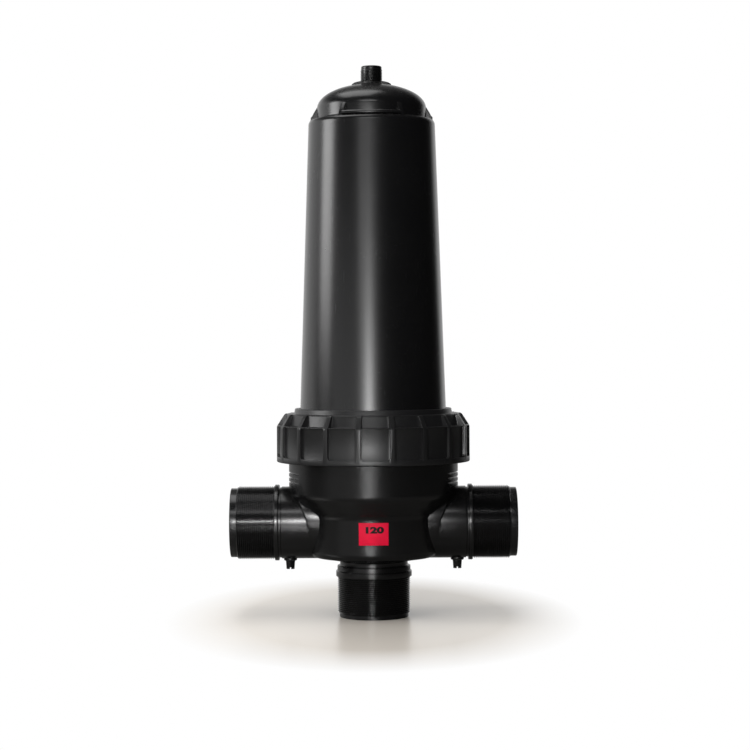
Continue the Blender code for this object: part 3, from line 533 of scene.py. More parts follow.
    @staticmethod
    def round_off(obj: Piece, width: float, segments: int = 2, angle: float = 32) -> None:
        """Bevels every edge sharper than an angle.

        Args:
            obj: the piece.
            width: the bevel's width in millimetres.
            segments: its steps.
            angle: the least angle in degrees.
        """
        step = obj.modifiers.new("edges", "BEVEL")
        step.width = width * MM
        step.segments = segments
        step.limit_method = "ANGLE"
        step.angle_limit = math.radians(angle)
        step.use_clamp_overlap = True
        Bench.apply(obj, step)

    @staticmethod
    def ease_edges(obj: Piece, picked: Callable[[Vector, Vector], bool], width: float,
                   segments: int) -> Piece:
        """Rounds some of a piece's edges.

        Args:
            obj: the piece.
            picked: tells from an edge's two ends, in metres, whether it is rounded.
            width: the rounding's width in millimetres.
            segments: its steps.

        Returns:
            The piece.
        """
        Bench.take(obj)
        bpy.ops.object.mode_set(mode="EDIT")
        bpy.ops.mesh.select_all(action="DESELECT")
        bpy.ops.object.mode_set(mode="OBJECT")
        for edge in obj.data.edges:
            edge.select = picked(*(obj.data.vertices[i].co for i in edge.vertices))
        bpy.ops.object.mode_set(mode="EDIT")
        bpy.ops.mesh.bevel(offset=width * MM, segments=segments, affect="EDGES", clamp_overlap=False)
        return Bench.settle(obj)

    @staticmethod
    def shift(obj: Piece, turn: float = 0.0, rise: float = 0.0) -> None:
        """Turns a piece's mesh round the upright axis, in radians, and raises it, in metres."""
        Bench.take(obj)
        bpy.ops.object.mode_set(mode="EDIT")
        bpy.ops.mesh.select_all(action="SELECT")
        if turn:
            bpy.ops.transform.rotate(value=-turn, orient_axis="Z", center_override=(0, 0, 0))
        if rise:
            bpy.ops.transform.translate(value=(0, 0, rise))
        bpy.ops.object.mode_set(mode="OBJECT")

    @staticmethod
    def twin(obj: Piece) -> Piece:
        """A copy of a piece, with its own mesh."""
        Bench.take(obj)
        bpy.ops.object.duplicate(linked=False)
        return bpy.context.object

    @staticmethod
    def copies(obj: Piece, count: int) -> list[Piece]:
        """Repeats a piece round the upright axis, each copy with its own mesh.

        Args:
            obj: the piece, modelled once.
            count: how many there are in a whole turn, this one among them.

        Returns:
            All of them.
        """
        made = [obj]
        for index in range(1, count):
            made.append(Bench.twin(obj))
            Bench.shift(made[-1], turn=TURN * index / count)
        return made

    @staticmethod
    def smooth(obj: Piece, angle: float = 32) -> None:
        """Shades a piece smooth, apart from its edges sharper than an angle in degrees."""
        Bench.take(obj)
        bpy.ops.object.shade_smooth_by_angle(angle=math.radians(angle), keep_sharp_edges=False)


def arc(middle: Point, radii: Point, start: float, end: float, steps: int) -> list[Point]:
    """Points along an elliptical arc.

    Args:
        middle: its centre.
        radii: its two radii.
        start: where it starts, in degrees.
        end: where it ends.
        steps: how many steps it has.

    Returns:
        Its points, both ends among them.
    """
    angles = [math.radians(start + (end - start) * i / steps) for i in range(steps + 1)]
    return [(middle[0] + radii[0] * math.cos(a), middle[1] + radii[1] * math.sin(a)) for a in angles]


def ring(radius: float, height: float, count: int, first: float = 0.0, middle: float = 0.0) -> list[Vector]:
    """The corners of a level polygon.

    Args:
        radius: how far they are from its middle.
        height: how high it lies.
        count: how many there are.
        first: where the first one is, in steps from +X.
        middle: the middle's x.

    Returns:
        Its corners.
    """
    angles = [TURN * (index + first) / count for index in range(count)]
    return [Vector((middle + radius * math.cos(a), radius * math.sin(a), height)) for a in angles]


def eased(corners: list[Corner], steps: int = 4) -> list[Point]:
    """Rounds the corners of a closed outline.

    Args:
        corners: (radius, height) or (radius, height, how far the corner is rounded).
        steps: how many steps each rounding has.

    Returns:
        The outline's points.
    """
    points = []
    for index, corner in enumerate(corners):
        here = Vector(corner[:2])
        size = corner[2] if len(corner) > 2 else 0
        if not size:
            points.append(tuple(here))
            continue
        before = Vector(corners[index - 1][:2]) - here
        after = Vector(corners[(index + 1) % len(corners)][:2]) - here
        reach = min(size, before.length * 0.48, after.length * 0.48)
        start, end = here + before.normalized() * reach, here + after.normalized() * reach
        for step in range(steps + 1):
            t = step / steps
            points.append(tuple(start * (1 - t) ** 2 + here * 2 * t * (1 - t) + end * t ** 2))
    return points


def dress(obj: Piece, finish: bpy.types.Material, body: str, slot: str, *nodes: str) -> None:
    """Gives a piece its finish and its body, and hides the nodes that it stands for.

    Args:
        obj: the piece.
        finish: its material.
        body: the body it rides on.
        slot: not used.
        nodes: the nodes that it replaces.
    """
    obj.data.materials.clear()
    obj.data.materials.append(finish)
    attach(obj, body)
    if nodes:
        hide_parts(*nodes)
    LOG.info("%s: %d faces on %s", obj.name, len(obj.data.polygons), body)


# Threads


@dataclass
class ScrewThread:
    """A rounded outside thread that runs along one axis and fades into its chamfers.

    Its sleeve is wall thick, starts sunk below the roots and reaches margin past both ends.
    """

    name: str
    crest: float
    pitch: float
    start: float
    end: float
    depth: float
    axis: Axis = Axis.UPRIGHT
    height: float = 0.0
    steps: int = 96
    chamfer_start: float = 1.4
    chamfer_end: float = 1.4
    wall: float = 0.5
    sunk: float = 0.35
    margin: float = 0.2

    def section(self) -> list[Point]:
        """One turn's section: (radius, place along the axis) from root to root."""
        flat, half = self.pitch * 0.07, self.pitch / 2
        root, flank = self.crest - self.depth, self.crest - flat * 0.6
        return [(root, 0), (root, flat), (flank, half - flat * 1.5), (self.crest, half - flat * 0.6),
                (self.crest, half + flat * 0.6), (flank, half + flat * 1.5),
                (root, self.pitch - flat), (root, self.pitch)]

    def make(self) -> Piece:
        """Draws one turn's section, screws it along the axis and fades both ends.

        Returns:
            The thread, as a thin closed sleeve with its place in its mesh.
        """
        upright = self.axis is Axis.UPRIGHT
        begin = self.start - self.pitch
        if upright:
            points = [Vector((r, 0, begin + z)) * MM for r, z in self.section()]
        else:
            points = [Vector((begin + x, 0, r)) * MM for r, x in self.section()]
        obj = Bench.trace(self.name, points, closed=False)
        bpy.ops.object.mode_set(mode="OBJECT")
        step = obj.modifiers.new("screw", "SCREW")
        step.axis = "Z" if upright else "X"
        step.steps = step.render_steps = self.steps
        step.iterations = math.ceil((self.end - self.start) / self.pitch) + 1
        step.screw_offset = self.pitch * MM
        step.use_merge_vertices = False
        Bench.apply(obj, step)
        floor = self.crest - self.depth - self.sunk
        for vertex in obj.data.vertices:
            x, y, z = (c / MM for c in vertex.co)
            along, a, b = (z, x, y) if upright else (x, y, z)
            radius = math.hypot(a, b)
            most = self.crest - max(0.0, self.start + self.chamfer_start - along,
                                    along - (self.end - self.chamfer_end))
            scale = max(floor, min(radius, most)) / radius
            along = min(max(along, self.start - self.margin), self.end + self.margin)
            if upright:
                vertex.co = Vector((x * scale, y * scale, along)) * MM
            else:
                vertex.co = Vector((along, y * scale, z * scale + self.height)) * MM
        Bench.settle(obj)
        wall = obj.modifiers.new("wall", "SOLIDIFY")
        wall.thickness = self.wall * MM
        wall.offset = -1
        Bench.apply(obj, wall)
        Bench.smooth(obj, 28)
        return obj


@dataclass
class Assembly:
    """A sub-assembly: its fields are its sizes, and build models and dresses its pieces."""

    finishes: Finishes


# The base


@dataclass
class Base(Assembly):
    """The moulded base: tub, neck, two sleeves with ports in line, and the bottom port."""

    thread_radius: float = 43.95
    body_radius: float = 42.2
    lead: float = 41.6
    bore: float = 37.0
    collar: float = 45.8
    sleeve: float = 43.4
    sleeve_end: float = 111.2
    port_end: float = 172.5
    port_height: float = 114.0
    tub: float = 79.0
    neck: float = 102.2
    neck_bore: float = 92.2
    riser: float = 42.0
    tap_place: float = 101.0
    pad: float = 8.0
    pad_low: float = 69.7
    pitch: float = 2.309
    thread_depth: float = 1.5
    inside: float = 44.2
    root_growth: float = 2.2
    root_lift: float = 4.4
    root_end: float = 78.0
    root_lean: float = 19.0
    slot_low: float = 162.4
    slot_step: float = 5.6
    slot_height: float = 2.4
    slot_floor: float = 97.2
    steps: int = 160

    def body_outline(self) -> list[Point]:
        """The half section of tub, neck, bottom port and riser, filled to the riser's bore."""
        return eased([
            (self.bore, 0, 0.7), (self.lead, 0, 0.9), (self.lead, 5.4), (self.body_radius, 5.6),
            (self.body_radius, 49), (self.collar, 49, 0.9), (self.collar, 55.8, 0.7), (44.2, 56.2, 0.3),
            (44.2, 62, 0.7), (41, 62.4, 0.6), (41, 68, 1.6), (71, 73.2, 3),
            *[(*p, 0) for p in arc((70, 82), (9, 9), -78, 0, 9)],
            (self.tub, 124.5, 4), (self.neck - 1.2, 146.2, 5), (self.neck, 150, 3), (self.neck, 188, 0.6),
            (104.0, 190), (104.0, 226, 0.9), (self.neck_bore, 226, 0.9),
            (self.neck_bore, 190), (self.riser, 190, 0.6), (self.bore, 190, 0.6),
        ])

    def chamber_outline(self) -> list[Point]:
        """The ring of space round the riser."""
        return eased([
            (self.riser, 76.2, 2), (73, 76.2, 5), (73, 134, 2), (self.neck_bore, 150, 3),
            (self.neck_bore, 196), (self.riser, 196),
        ])

    def sleeve_outline(self) -> list[Point]:
        """One side port from inside the tub out to its end, as (radius, x)."""
        return eased([
            (30, 42), (self.sleeve, 42), (self.sleeve, self.sleeve_end, 0.7),
            (42.3, self.sleeve_end + 0.2, 0.3), (42.3, 114.2, 0.3), (self.collar, 114.2, 0.8),
            (self.collar, 119.2, 0.8), (self.body_radius, 119.4), (self.body_radius, 163.9),
            (self.lead, 164.4), (self.lead, self.port_end, 1.1), (30, self.port_end),
        ])

    def root(self) -> Piece:
        """The thicker root of the right sleeve, whose end leans out above the port's axis.

        Returns:
            The root, with the rim of its outer end rounded.
        """
        radius = self.sleeve + self.root_growth
        middle = self.port_height + self.root_lift
        rim = [Vector((self.inside, radius * math.cos(a), middle + radius * math.sin(a)))
               for a in (TURN * i / 96 for i in range(96))]
        obj = Bench.prism("root", rim, Vector((self.root_end - self.inside, 0, 0)))
        halfway = (self.inside + self.root_end) / 2 * MM
        for vertex in obj.data.vertices:
            if vertex.co.x > halfway:
                rise = max(0.0, vertex.co.z / MM - self.port_height) / radius
                vertex.co.x = (self.root_end + self.root_lean * rise) * MM
        return Bench.ease_edges(obj, lambda a, b: min(a.x, b.x) > halfway, 1.6, 4)

    def slots(self) -> list[Piece]:
        """The cutters of the three cooling slots over the right port."""
        made = []
        for index in range(3):
            low = self.slot_low + self.slot_step * index
            high = low + self.slot_height
            outline = [(self.slot_floor, low), (108, low), (108, high), (self.slot_floor, high)]
            made.append(Bench.wedge(f"slot_{index}", outline, 0.0, math.radians(60), 24))
        return made

    def tap_pad(self) -> Piece:
        """The round pad under the right sleeve that a tap plug screws into."""
        rim = ring(self.pad, self.pad_low, 48, middle=self.tap_place)
        return Bench.prism("tap_pad", rim, Vector((0, 0, 5)))

    def bore_tool(self) -> Piece:
        """The cutter of the right port's bore, with its rounded mouth."""
        ease = 0.9
        mouth, past = self.bore + ease, self.port_end + 3
        outline = [(0, self.inside), (self.bore, self.inside),
                   *arc((mouth, self.port_end - ease), (ease, ease), 180, 90, 3), (mouth, past), (0, past)]
        return Bench.turned("bore", outline, 96, Axis.ALONG_PORTS, self.port_height)

    def build(self) -> None:
        """Builds the base and its threads, and dresses them."""
        body = Bench.turned("base_shell", self.body_outline(), self.steps)
        adds = [Bench.turned("sleeve", self.sleeve_outline(), 112, Axis.ALONG_PORTS, self.port_height),
                self.root(), self.tap_pad()]
        cuts = [self.bore_tool(), *self.slots()]
        adds += [Bench.copies(tool, 2)[1] for tool in adds]
        cuts += [Bench.copies(tool, 2)[1] for tool in cuts]
        cuts.append(Bench.turned("chamber", self.chamber_outline(), self.steps))
        Bench.use(body, Join.ADD, *adds)
        Bench.use(body, Join.CUT, *cuts)
        Bench.settle(body)
        Bench.smooth(body, 34)
        dress(body, self.finishes.moulded, "base", "moulded", "base_body")
        for side in Side:
            thread = ScrewThread(
                f"port_thread_{side.name.lower()}", self.thread_radius, self.pitch, start=119.2, end=164.4,
                depth=self.thread_depth, axis=Axis.ALONG_PORTS, height=self.port_height,
                chamfer_start=0.0).make()
            if side is Side.LEFT:
                Bench.shift(thread, turn=-TURN / 2)
            dress(thread, self.finishes.thread, "base", "moulded")
        foot = ScrewThread("bottom_thread", self.thread_radius, self.pitch, start=5.0, end=49.0,
                           depth=self.thread_depth, chamfer_end=0.0).make()
        dress(foot, self.finishes.thread, "base", "moulded")
        collar = ScrewThread("neck_thread", crest=104.5, pitch=5.0, start=193.0, end=222.0, depth=1.2,
                             steps=128).make()
        dress(collar, self.finishes.moulded, "base", "moulded")


# The cover


@dataclass
class Cover(Assembly):
    """The tapered cover with its domed top, lifting lugs and threaded vent neck."""

    radius: float = 88.6
    top_radius: float = 76.6
    wall: float = 5.6
    shoulder_z: float = 594.3
    dome: float = 66.0
    spring_z: float = 614.8
    rise: float = 29.5
    vent: float = 13.2
    vent_top: float = 662.7
    ribs: int = 6
    rib_width: float = 6.0
    webs: int = 4
    steps: int = 192

    def outline(self) -> list[Point]:
        """The wall's section, from the spigot up the outside and back down the inside."""
        inner = self.radius - self.wall
        top = self.spring_z + self.rise
        shell = [(inner, 208.3, 0.6), (91.4, 208.3, 0.8), (91.4, 214.5), (86.6, 214.5), (86.6, 220.1),
                 (91.4, 220.1), (91.4, 226.3), (103.2, 226.3, 0.8), (103.2, 236.3, 0.8),
                 (self.radius, 236.3, 1.5)]
        shell += [(*p, 0) for p in arc((self.top_radius - 7, self.shoulder_z), (7, 7), 0, 74, 10)]
        shell.append((self.dome, self.shoulder_z + 7.2, 1.6))
        shell += [(*p, 0) for p in arc((0, self.spring_z), (self.dome, self.rise), 0, 72, 26)]
        shell += [(self.vent + 3.6, top - 0.6, 1.2), (self.vent, top + 2.4, 2.2),
                  (self.vent - 0.5, top + 3.2), (self.vent - 0.5, self.vent_top, 1.3),
                  (11.4, self.vent_top, 0.3), (11.4, self.vent_top - 1.8), (9.2, self.vent_top - 1.8),
                  (9.2, top - 6)]
        shell += [(*p, 0) for p in arc((0, self.spring_z), (self.dome - 6, self.rise - 6), 68, 0, 12)]
        shell += [(self.dome - 6, self.shoulder_z + 7), (self.top_radius - self.wall, self.shoulder_z, 2),
                  (inner, 236.3, 2)]
        return eased(shell)

    def rib(self) -> Piece:
        """The upright lug rib that lies over +X."""
        outline = eased([(63, 601.3), (75.8, 594.3, 0.4), (75.8, 595.8, 0.6), (72.1, 606, 6),
                         (self.dome, 616.3, 3), (63, 616.3)], 5)
        rib = Bench.wedge("lug_rib", outline, 0.0, self.rib_width / self.top_radius, 2)
        Bench.round_off(rib, 1.2, 4, 50)
        return rib

    def bar(self) -> Piece:
        """The curved bar that joins the ribs at 0 and 60 degrees."""
        outline = eased([(63, 599.8), (70, 599.8), (72, 602.1, 0.5), (74, 602.1, 0.7), (74, 604.4, 2.0),
                         (72, 606.1, 1.2), (63, 606.1)], 5)
        bay = TURN / self.ribs
        return Bench.wedge("lug_bar", outline, bay / 2, bay - self.rib_width / 2 / self.top_radius, 24)

    def web(self) -> Piece:
        """The small web at the vent neck's foot that lies over +X."""
        corners = [Vector((x, -1.5, z)) for x, z in
                   ((10.5, 640), (25, 640), (23.5, 644.6), (20.5, 646.6), (15.5, 647.9), (10.5, 648.6))]
        web = Bench.prism("vent_web", corners, Vector((0, 3, 0)))
        Bench.round_off(web, 0.6, 3, 50)
        return web

    def build(self) -> None:
        """Builds the cover and its vent thread, and dresses them."""
        cover = Bench.turned("cover_shell", self.outline(), self.steps)
        tools = [*Bench.copies(self.rib(), self.ribs), *Bench.copies(self.bar(), self.ribs // 2),
                 *Bench.copies(self.web(), self.webs)]
        Bench.use(cover, Join.ADD, *tools)
        Bench.settle(cover)
        Bench.smooth(cover, 34)
        dress(cover, self.finishes.cover, "cover", "cover", "cover")
        thread = ScrewThread("vent_thread", self.vent, pitch=1.814, start=647.2, end=661.6, depth=1.1,
                             steps=64, chamfer_start=0.4, chamfer_end=1.0).make()
        dress(thread, self.finishes.thread, "cover", "cover")


@dataclass
class VentPlug(Assembly):
    """The low round plug that closes the vent neck, and its seal."""

    seat: float = 662.7
    head: float = 12.5
    thickness: float = 3.0
    rim: float = 1.6
    shank: float = 8.5
    length: float = 13.0
    socket: float = 4.6

    def build(self) -> None:
        """Builds the plug and the seal, and dresses them."""
        low, tip = self.seat + 0.3, self.seat - self.length
        top = low + self.thickness
        outline = [(0, tip), *eased([(self.shank, tip, 0.8), (self.shank, low), (self.head, low, 0.3)]),
                   *arc((self.head - self.rim, top - self.rim), (self.rim, self.rim), 0, 90, 6), (0, top)]
        plug = Bench.turned("vent_cap", outline, 96)
        socket = ring(self.socket, low - self.thickness, 6)
        Bench.use(plug, Join.CUT, Bench.prism("socket", socket, Vector((0, 0, 9))))
        Bench.settle(plug)
        Bench.smooth(plug)
        dress(plug, self.finishes.plug, "vent_screw", "plug", "vent_plug")
        seal = Bench.turned("vent_ring_seal", arc((10.3, self.seat - 0.9), (0.7, 0.7), 0, 345, 15), 96)
        Bench.smooth(seal, 80)
        dress(seal, self.finishes.seal, "vent_ring", "seal", "vent_seal")


@dataclass
class ClampNut(Assembly):
    """The ribbed ring that draws the cover down on the base."""

    low: float = 188.0
    top: float = 246.0
    bore: float = 104.7
    radius: float = 116.7
    panel: float = 113.3
    ribs: int = 18
    rib_width: float = 5.6
    turn: float = 1.4
    band: float = 6.5
    ledge: float = 231.0
    eye: float = 89.4
    corner: float = 4.5

    def outline(self) -> list[Point]:
        """The section through a rib, lip and web."""
        return eased([
            (self.bore, 236.6), (self.bore, self.low, 0.6), (self.radius, self.low, 1.3),
            (self.radius, self.ledge - 0.4, 1.6), (107.9, 244.4, 1.2), (106.2, self.top, 0.9),
            (95.6, self.top, 0.6), (94.6, 252, 0.9), (self.eye, 252, 0.7), (self.eye, 236.6),
        ])

    def panel_tool(self) -> Piece:
        """The cutter of one lower panel, with its two lower corners rounded."""
        bay = TURN / self.ribs
        middle = math.radians(self.turn) + bay / 2
        sweep = bay - self.rib_width / self.radius
        low, high, outside = self.low + self.band, self.ledge + 0.6, self.radius + 4
        outline = [(self.panel, low), (outside, low), (outside, high), (self.panel, high)]
        floor = (low + 0.01) * MM

        def is_corner(a: Vector, b: Vector) -> bool:
            """True for the two lower edges that point outwards."""
            off = [abs(math.atan2(end.y, end.x) - middle) for end in (a, b)]
            return a.z < floor and b.z < floor and min(off) > sweep / 2 - 1e-4

        return Bench.ease_edges(Bench.wedge("panel", outline, middle, sweep, 12), is_corner, self.corner, 5)

    def recess_tool(self) -> Piece:
        """The cutter of one deep upper recess, behind the chamfer."""
        bay = TURN / self.ribs
        sweep = bay - self.rib_width * 1.12 / self.radius
        low = self.ledge + 1.2
        outline = eased([(107.4, low, 1.0), (122, low), (122, 250), (103.2, 250), (103.2, 246.4),
                         (104.4, 244.8, 0.8)])
        return Bench.wedge("recess", outline, math.radians(self.turn) + bay / 2, sweep, 12)

    def build(self) -> None:
        """Builds the nut and dresses it."""
        nut = Bench.turned("clamp_ring", self.outline(), self.ribs * 12)
        tools = [*Bench.copies(self.panel_tool(), self.ribs), *Bench.copies(self.recess_tool(), self.ribs)]
        Bench.use(nut, Join.CUT, *tools)
        Bench.settle(nut)
        Bench.round_off(nut, 0.45, 2, 40)
        Bench.smooth(nut, 36)
        dress(nut, self.finishes.nut, "nut", "nut", "clamp_nut")


@dataclass
class TapPlug(Assembly):
    """A slotted tap plug under one sleeve, and its seal."""

    place: float = 101.0
    head: float = 6.3
    foot: float = 5.5
    head_top: float = 67.8
    height: float = 10.0
    notch: float = 1.8
    notch_depth: float = 2.2
    shank: float = 5.7
    shank_top: float = 76.5

    def build(self) -> None:
        """Builds both plugs and seals, and dresses them."""
        low, half = self.head_top - self.height - 2, self.notch / 2
        for side in Side:
            name = side.name.lower()
            x = side.value * self.place
            head = Bench.prism(f"tap_screw_{name}", ring(self.head, self.head_top, 6, 0.5),
                               Vector((0, 0, -self.height)))
            for vertex in head.data.vertices:
                if vertex.co.z < (self.head_top - 1) * MM:
                    vertex.co.x *= self.foot / self.head
                    vertex.co.y *= self.foot / self.head
            notch = [Vector((a, b, low)) for a, b in ((-half, -9), (half, -9), (half, 9), (-half, 9))]
            Bench.use(head, Join.CUT, Bench.prism("notch", notch, Vector((0, 0, 2 + self.notch_depth))))
            root = self.head_top - 1
            shank = [(0, root), (self.shank, root),
                     *eased([(self.shank, self.shank_top, 0.8), (0, self.shank_top)])]
            Bench.use(head, Join.ADD, Bench.turned("shank", shank, 40))
            Bench.settle(head)
            Bench.round_off(head, 0.5, 3, 40)
            seal = Bench.turned(f"tap_ring_{name}_seal", arc((7.25, 68.75), (0.62, 0.62), 0, 345, 15), 64)
            for piece in (head, seal):
                for vertex in piece.data.vertices:
                    vertex.co.x += x * MM
            Bench.smooth(head)
            Bench.smooth(seal, 80)
            dress(head, self.finishes.plug, f"tap_screw_{name}", "plug", f"tap_plug_{name}")
            dress(seal, self.finishes.seal, f"tap_ring_{name}", "seal", f"tap_seal_{name}")


@dataclass
class GradeLabel(Assembly):
    """The red plate on the front of the tub, with a plain number on it."""

    inner: float = 79.2
    thickness: float = 0.9
    width: float = 35.0
    height: float = 26.5
    middle: float = 106.5
    number: str = "120"
    text_size: float = 13.5
    text_depth: float = 0.25
    text_swell: float = 0.75
    text_lift: float = 1.6
    stretch: float = 1.15
    squash: float = 0.72

    def build(self) -> None:
        """Builds the plate and its number, and dresses them."""
        low, high = self.middle - self.height / 2, self.middle + self.height / 2
        outer = self.inner + self.thickness
        outline = [(self.inner, low), (outer, low), (outer, high), (self.inner, high)]
        plate = Bench.wedge("grade_plate", outline, -TURN / 4, self.width / self.inner, 24)
        Bench.round_off(plate, 0.3, 3, 50)
        Bench.smooth(plate)
        dress(plate, self.finishes.label, "base", "label", "grade_label")
        Bench.clear()
        bpy.ops.object.text_add()
        text = bpy.context.object
        text.data.body = self.number
        text.data.size = self.text_size * MM
        text.data.align_x = "CENTER"
        text.data.extrude = self.text_depth * MM
        text.data.offset = self.text_swell * MM
        text.data.resolution_u = 6
        text.name = "grade_number"
        bpy.ops.object.convert(target="MESH")
        number = bpy.context.object
        for vertex in number.data.vertices:
            across, up, out = (c / MM for c in vertex.co)
            angle = -TURN / 4 + across * self.stretch / outer
            radius = outer + 0.1 + out
            height = self.middle + self.text_lift + up * self.squash
            vertex.co = Vector((radius * math.cos(angle), radius * math.sin(angle), height)) * MM
        Bench.settle(number)
        Bench.smooth(number)
        dress(number, self.finishes.digit, "base", "label")


@dataclass
class DiscStack(Assembly):
    """The packs of grooved discs, whose rims stand out as fine ridges."""

    packs: int = 8
    bore: float = 40.0
    ridges: int = 24
    groove: float = 0.45
    slope: float = 0.22
    steps: int = 112

    def outline(self, low: float, high: float, rim: float) -> list[Point]:
        """One pack's half section.

        Args:
            low: the height of its underside.
            high: the height of its top.
            rim: its outer radius.

        Returns:
            Its (radius, height) points.
        """
        pitch = (high - low) / self.ridges
        points = [(self.bore, low), (rim - self.groove, low)]
        for index in range(self.ridges):
            foot = low + pitch * index
            points += [(rim, foot + self.slope * pitch), (rim, foot + (1 - self.slope) * pitch),
                       (rim - self.groove, foot + pitch)]
        return [*points, (self.bore, high)]

    def build(self) -> None:
        """Builds one pack, copies it up the spine and dresses the packs."""
        nodes = [f"disc_pack_{index + 1:02d}" for index in range(self.packs)]
        floors = [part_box(node)[0][2] for node in nodes]
        low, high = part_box(nodes[0])
        outline = self.outline(low[2] / MM, high[2] / MM, high[0] / MM)
        first = Bench.turned("discs_01", outline, self.steps)
        Bench.smooth(first, 30)
        for index, (node, floor) in enumerate(zip(nodes, floors)):
            pack = first
            if index:
                pack = Bench.twin(first)
                pack.name = pack.data.name = f"discs_{index + 1:02d}"
                Bench.shift(pack, rise=floor - floors[0])
            dress(pack, self.finishes.disc, "base", "disc", node)


@dataclass
class Innards(Assembly):
    """The inner seals, the spine and what presses the discs together, which keep their solids."""

    def build(self) -> None:
        """Gives every inner node its finish."""
        for name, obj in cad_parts.items():
            if name in ("cover_seal", "spine_seal"):
                finish = self.finishes.seal
            elif name in ("spine", "swirl_ring", "press_plate", "thrust_washer", "wing_nut"):
                finish = self.finishes.element
            else:
                continue
            for slot in obj.material_slots:
                slot.material = finish
            LOG.info("%s dressed", name)


# The studio


@dataclass(frozen=True)
class Lamp:
    """A soft rectangular lamp, aimed at a point on the filter.

    Radiance is its face's brightness, lean is how far it is turned in its own plane, in degrees,
    and a lamp without gloss lights colour and casts shadow, but isn't mirrored.
    """

    name: str
    place: Corner
    aim: Corner
    size: Point
    radiance: float
    lean: float = 0.0
    gloss: bool = True

    def hang(self) -> None:
        """Adds the lamp to the scene."""
        data = bpy.data.lights.new(self.name, "AREA")
        data.shape = "RECTANGLE"
        data.size, data.size_y = self.size
        data.energy = self.radiance * math.pi * self.size[0] * self.size[1]
        lamp = bpy.data.objects.new(self.name, data)
        bpy.context.scene.collection.objects.link(lamp)
        lamp.location = self.place
        lamp.rotation_euler = (Vector(self.aim) - Vector(self.place)).to_track_quat("-Z", "Y").to_euler()
        lamp.rotation_euler.rotate_axis("Z", math.radians(self.lean))
        lamp.visible_glossy = self.gloss


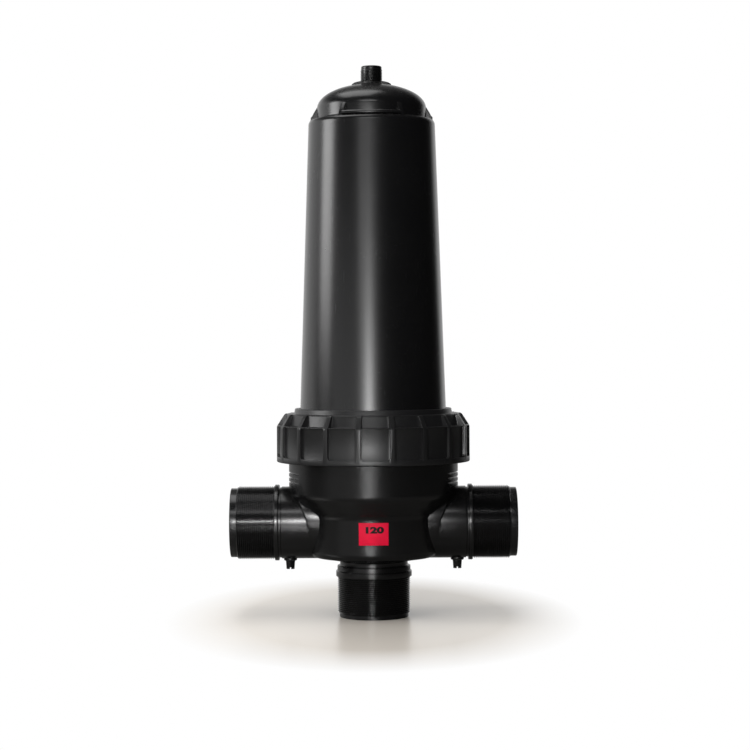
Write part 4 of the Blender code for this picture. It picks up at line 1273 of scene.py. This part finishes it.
@dataclass
class Studio:
    """The pale floor, the white wall behind, the lamps and the camera."""

    distance: float = 2.424
    eye: float = 0.332
    aside: float = 0.0027
    roll: float = 0.3
    width: float = 0.909
    drop: float = -33 / 750
    sensor: float = 36.0
    wall_lean: float = 18.0
    floor_radius: float = 14.0
    lamps: list[Lamp] = field(default_factory=lambda: [
        Lamp("left_softbox", (-1.40, -0.16, 0.86), (0, 0, 0.45), (0.6, 0.62), 8.0),
        Lamp("left_panel", (-1.25, -1.25, 0.42), (0, 0, 0.30), (1.3, 0.6), 0.95),
        Lamp("front_lamp", (-0.26, -2.5, 0.47), (0, 0, 0.33), (0.45, 0.12), 130.0),
        Lamp("front_strip", (-0.62, -2.4, 0.62), (0, 0, 0.33), (0.35, 1.0), 2.6, lean=40),
        Lamp("low_lamp", (-0.26, -2.1, 0.30), (0, 0, 0.12), (0.34, 0.2), 5.0),
        Lamp("high_strip", (-0.25, -1.65, 1.45), (0, 0, 0.2), (1.0, 0.22), 7.0),
        Lamp("top_softbox", (-0.35, 0.1, 1.75), (-0.05, 0, 0.3), (0.9, 0.9), 2.8),
        Lamp("plain_key", (-0.25, -0.9, 1.75), (0, 0, 0.1), (0.9, 1.4), 7.4, gloss=False),
        Lamp("plain_back", (-0.15, 0.7, 1.75), (0, 0, 0.1), (0.9, 1.2), 3.8, gloss=False),
    ])

    def surround(self) -> None:
        """Makes the world: white to the camera, and a low white wall behind the filter in its gloss."""
        world = bpy.data.worlds.new("studio")
        bpy.context.scene.world = world
        world.use_nodes = True
        board = Board(world.node_tree)
        way = board.add("ShaderNodeTexCoord", output="Generated")
        lean = math.radians(self.wall_lean)
        behind = board.add("ShaderNodeVectorMath", {"operation": "DOT_PRODUCT"},
                           {0: way, 1: (-math.sin(lean), math.cos(lean), 0)}, "Value")
        up = board.add("ShaderNodeSeparateXYZ", None, {0: way}, "Z")
        wall = board.ramp(behind, (0.44, 0.01), (0.62, 1.0)) * board.ramp(up, (0.28, 1.0), (0.55, 0.12))
        mirrored = board.add("ShaderNodeLightPath", output="Is Glossy Ray")
        seen = board.add("ShaderNodeLightPath", output="Is Camera Ray")
        strength = (wall * mirrored + (1.0 - mirrored) * 0.12 + seen).at_most(1.0)
        back = board.add("ShaderNodeBackground", None, {"Color": (1, 1, 1, 1), "Strength": strength})
        board.end(back, "ShaderNodeOutputWorld")

    def lay_floor(self) -> None:
        """Lays the floor: satin paper near the filter, where its shadow falls, and white beyond."""
        Bench.clear()
        bpy.ops.mesh.primitive_circle_add(vertices=128, radius=self.floor_radius, fill_type="NGON")
        floor = bpy.context.object
        floor.name = "floor"
        material = bpy.data.materials.new("floor_paper")
        material.use_nodes = True
        board = Board(material.node_tree)
        here = board.place((1.0, 0.6, 1.0))
        far = board.add("ShaderNodeVectorMath", {"operation": "LENGTH"}, {0: here}, "Value")
        away = board.ramp(far, (0.16, 0.0), (0.25, 1.0))
        seen = board.add("ShaderNodeLightPath", output="Is Camera Ray")
        paper = board.blend(seen, (0.12, 0.117, 0.11), (0.53, 0.492, 0.442))
        plain = board.add("ShaderNodeBsdfPrincipled", None, {
            "Base Color": paper, "Roughness": 0.3, "IOR": 1.7})
        white = board.add("ShaderNodeEmission", None, {"Color": (1, 1, 1, 1), "Strength": 1.0})
        board.end(board.add("ShaderNodeMixShader", None, {0: away * seen, 1: plain, 2: white}))
        floor.data.materials.append(material)

    def set_camera(self) -> None:
        """Sets the camera where the photograph was taken from."""
        data = bpy.data.cameras.new("camera")
        data.sensor_width = self.sensor
        data.lens = self.sensor * self.distance / self.width
        data.shift_y = self.drop
        data.clip_start, data.clip_end = 0.1, 60
        camera = bpy.data.objects.new("camera", data)
        bpy.context.scene.collection.objects.link(camera)
        camera.location = (self.aside, -self.distance, self.eye)
        camera.rotation_euler = (math.pi / 2, math.radians(self.roll), 0)
        bpy.context.scene.camera = camera

    def build(self) -> None:
        """Sets up the whole studio."""
        bpy.context.scene.view_settings.view_transform = "Standard"
        self.set_camera()
        self.surround()
        self.lay_floor()
        for lamp in self.lamps:
            lamp.hang()


def main() -> None:
    """Builds the studio and every sub-assembly in order."""
    logging.basicConfig(level=logging.INFO, format="%(relativeCreated)6d ms  %(message)s")
    Studio().build()
    finishes = Finishes()
    for assembly in (Base, Cover, VentPlug, ClampNut, TapPlug, GradeLabel, DiscStack, Innards):
        assembly(finishes).build()


if __name__ == "__main__":
    main()
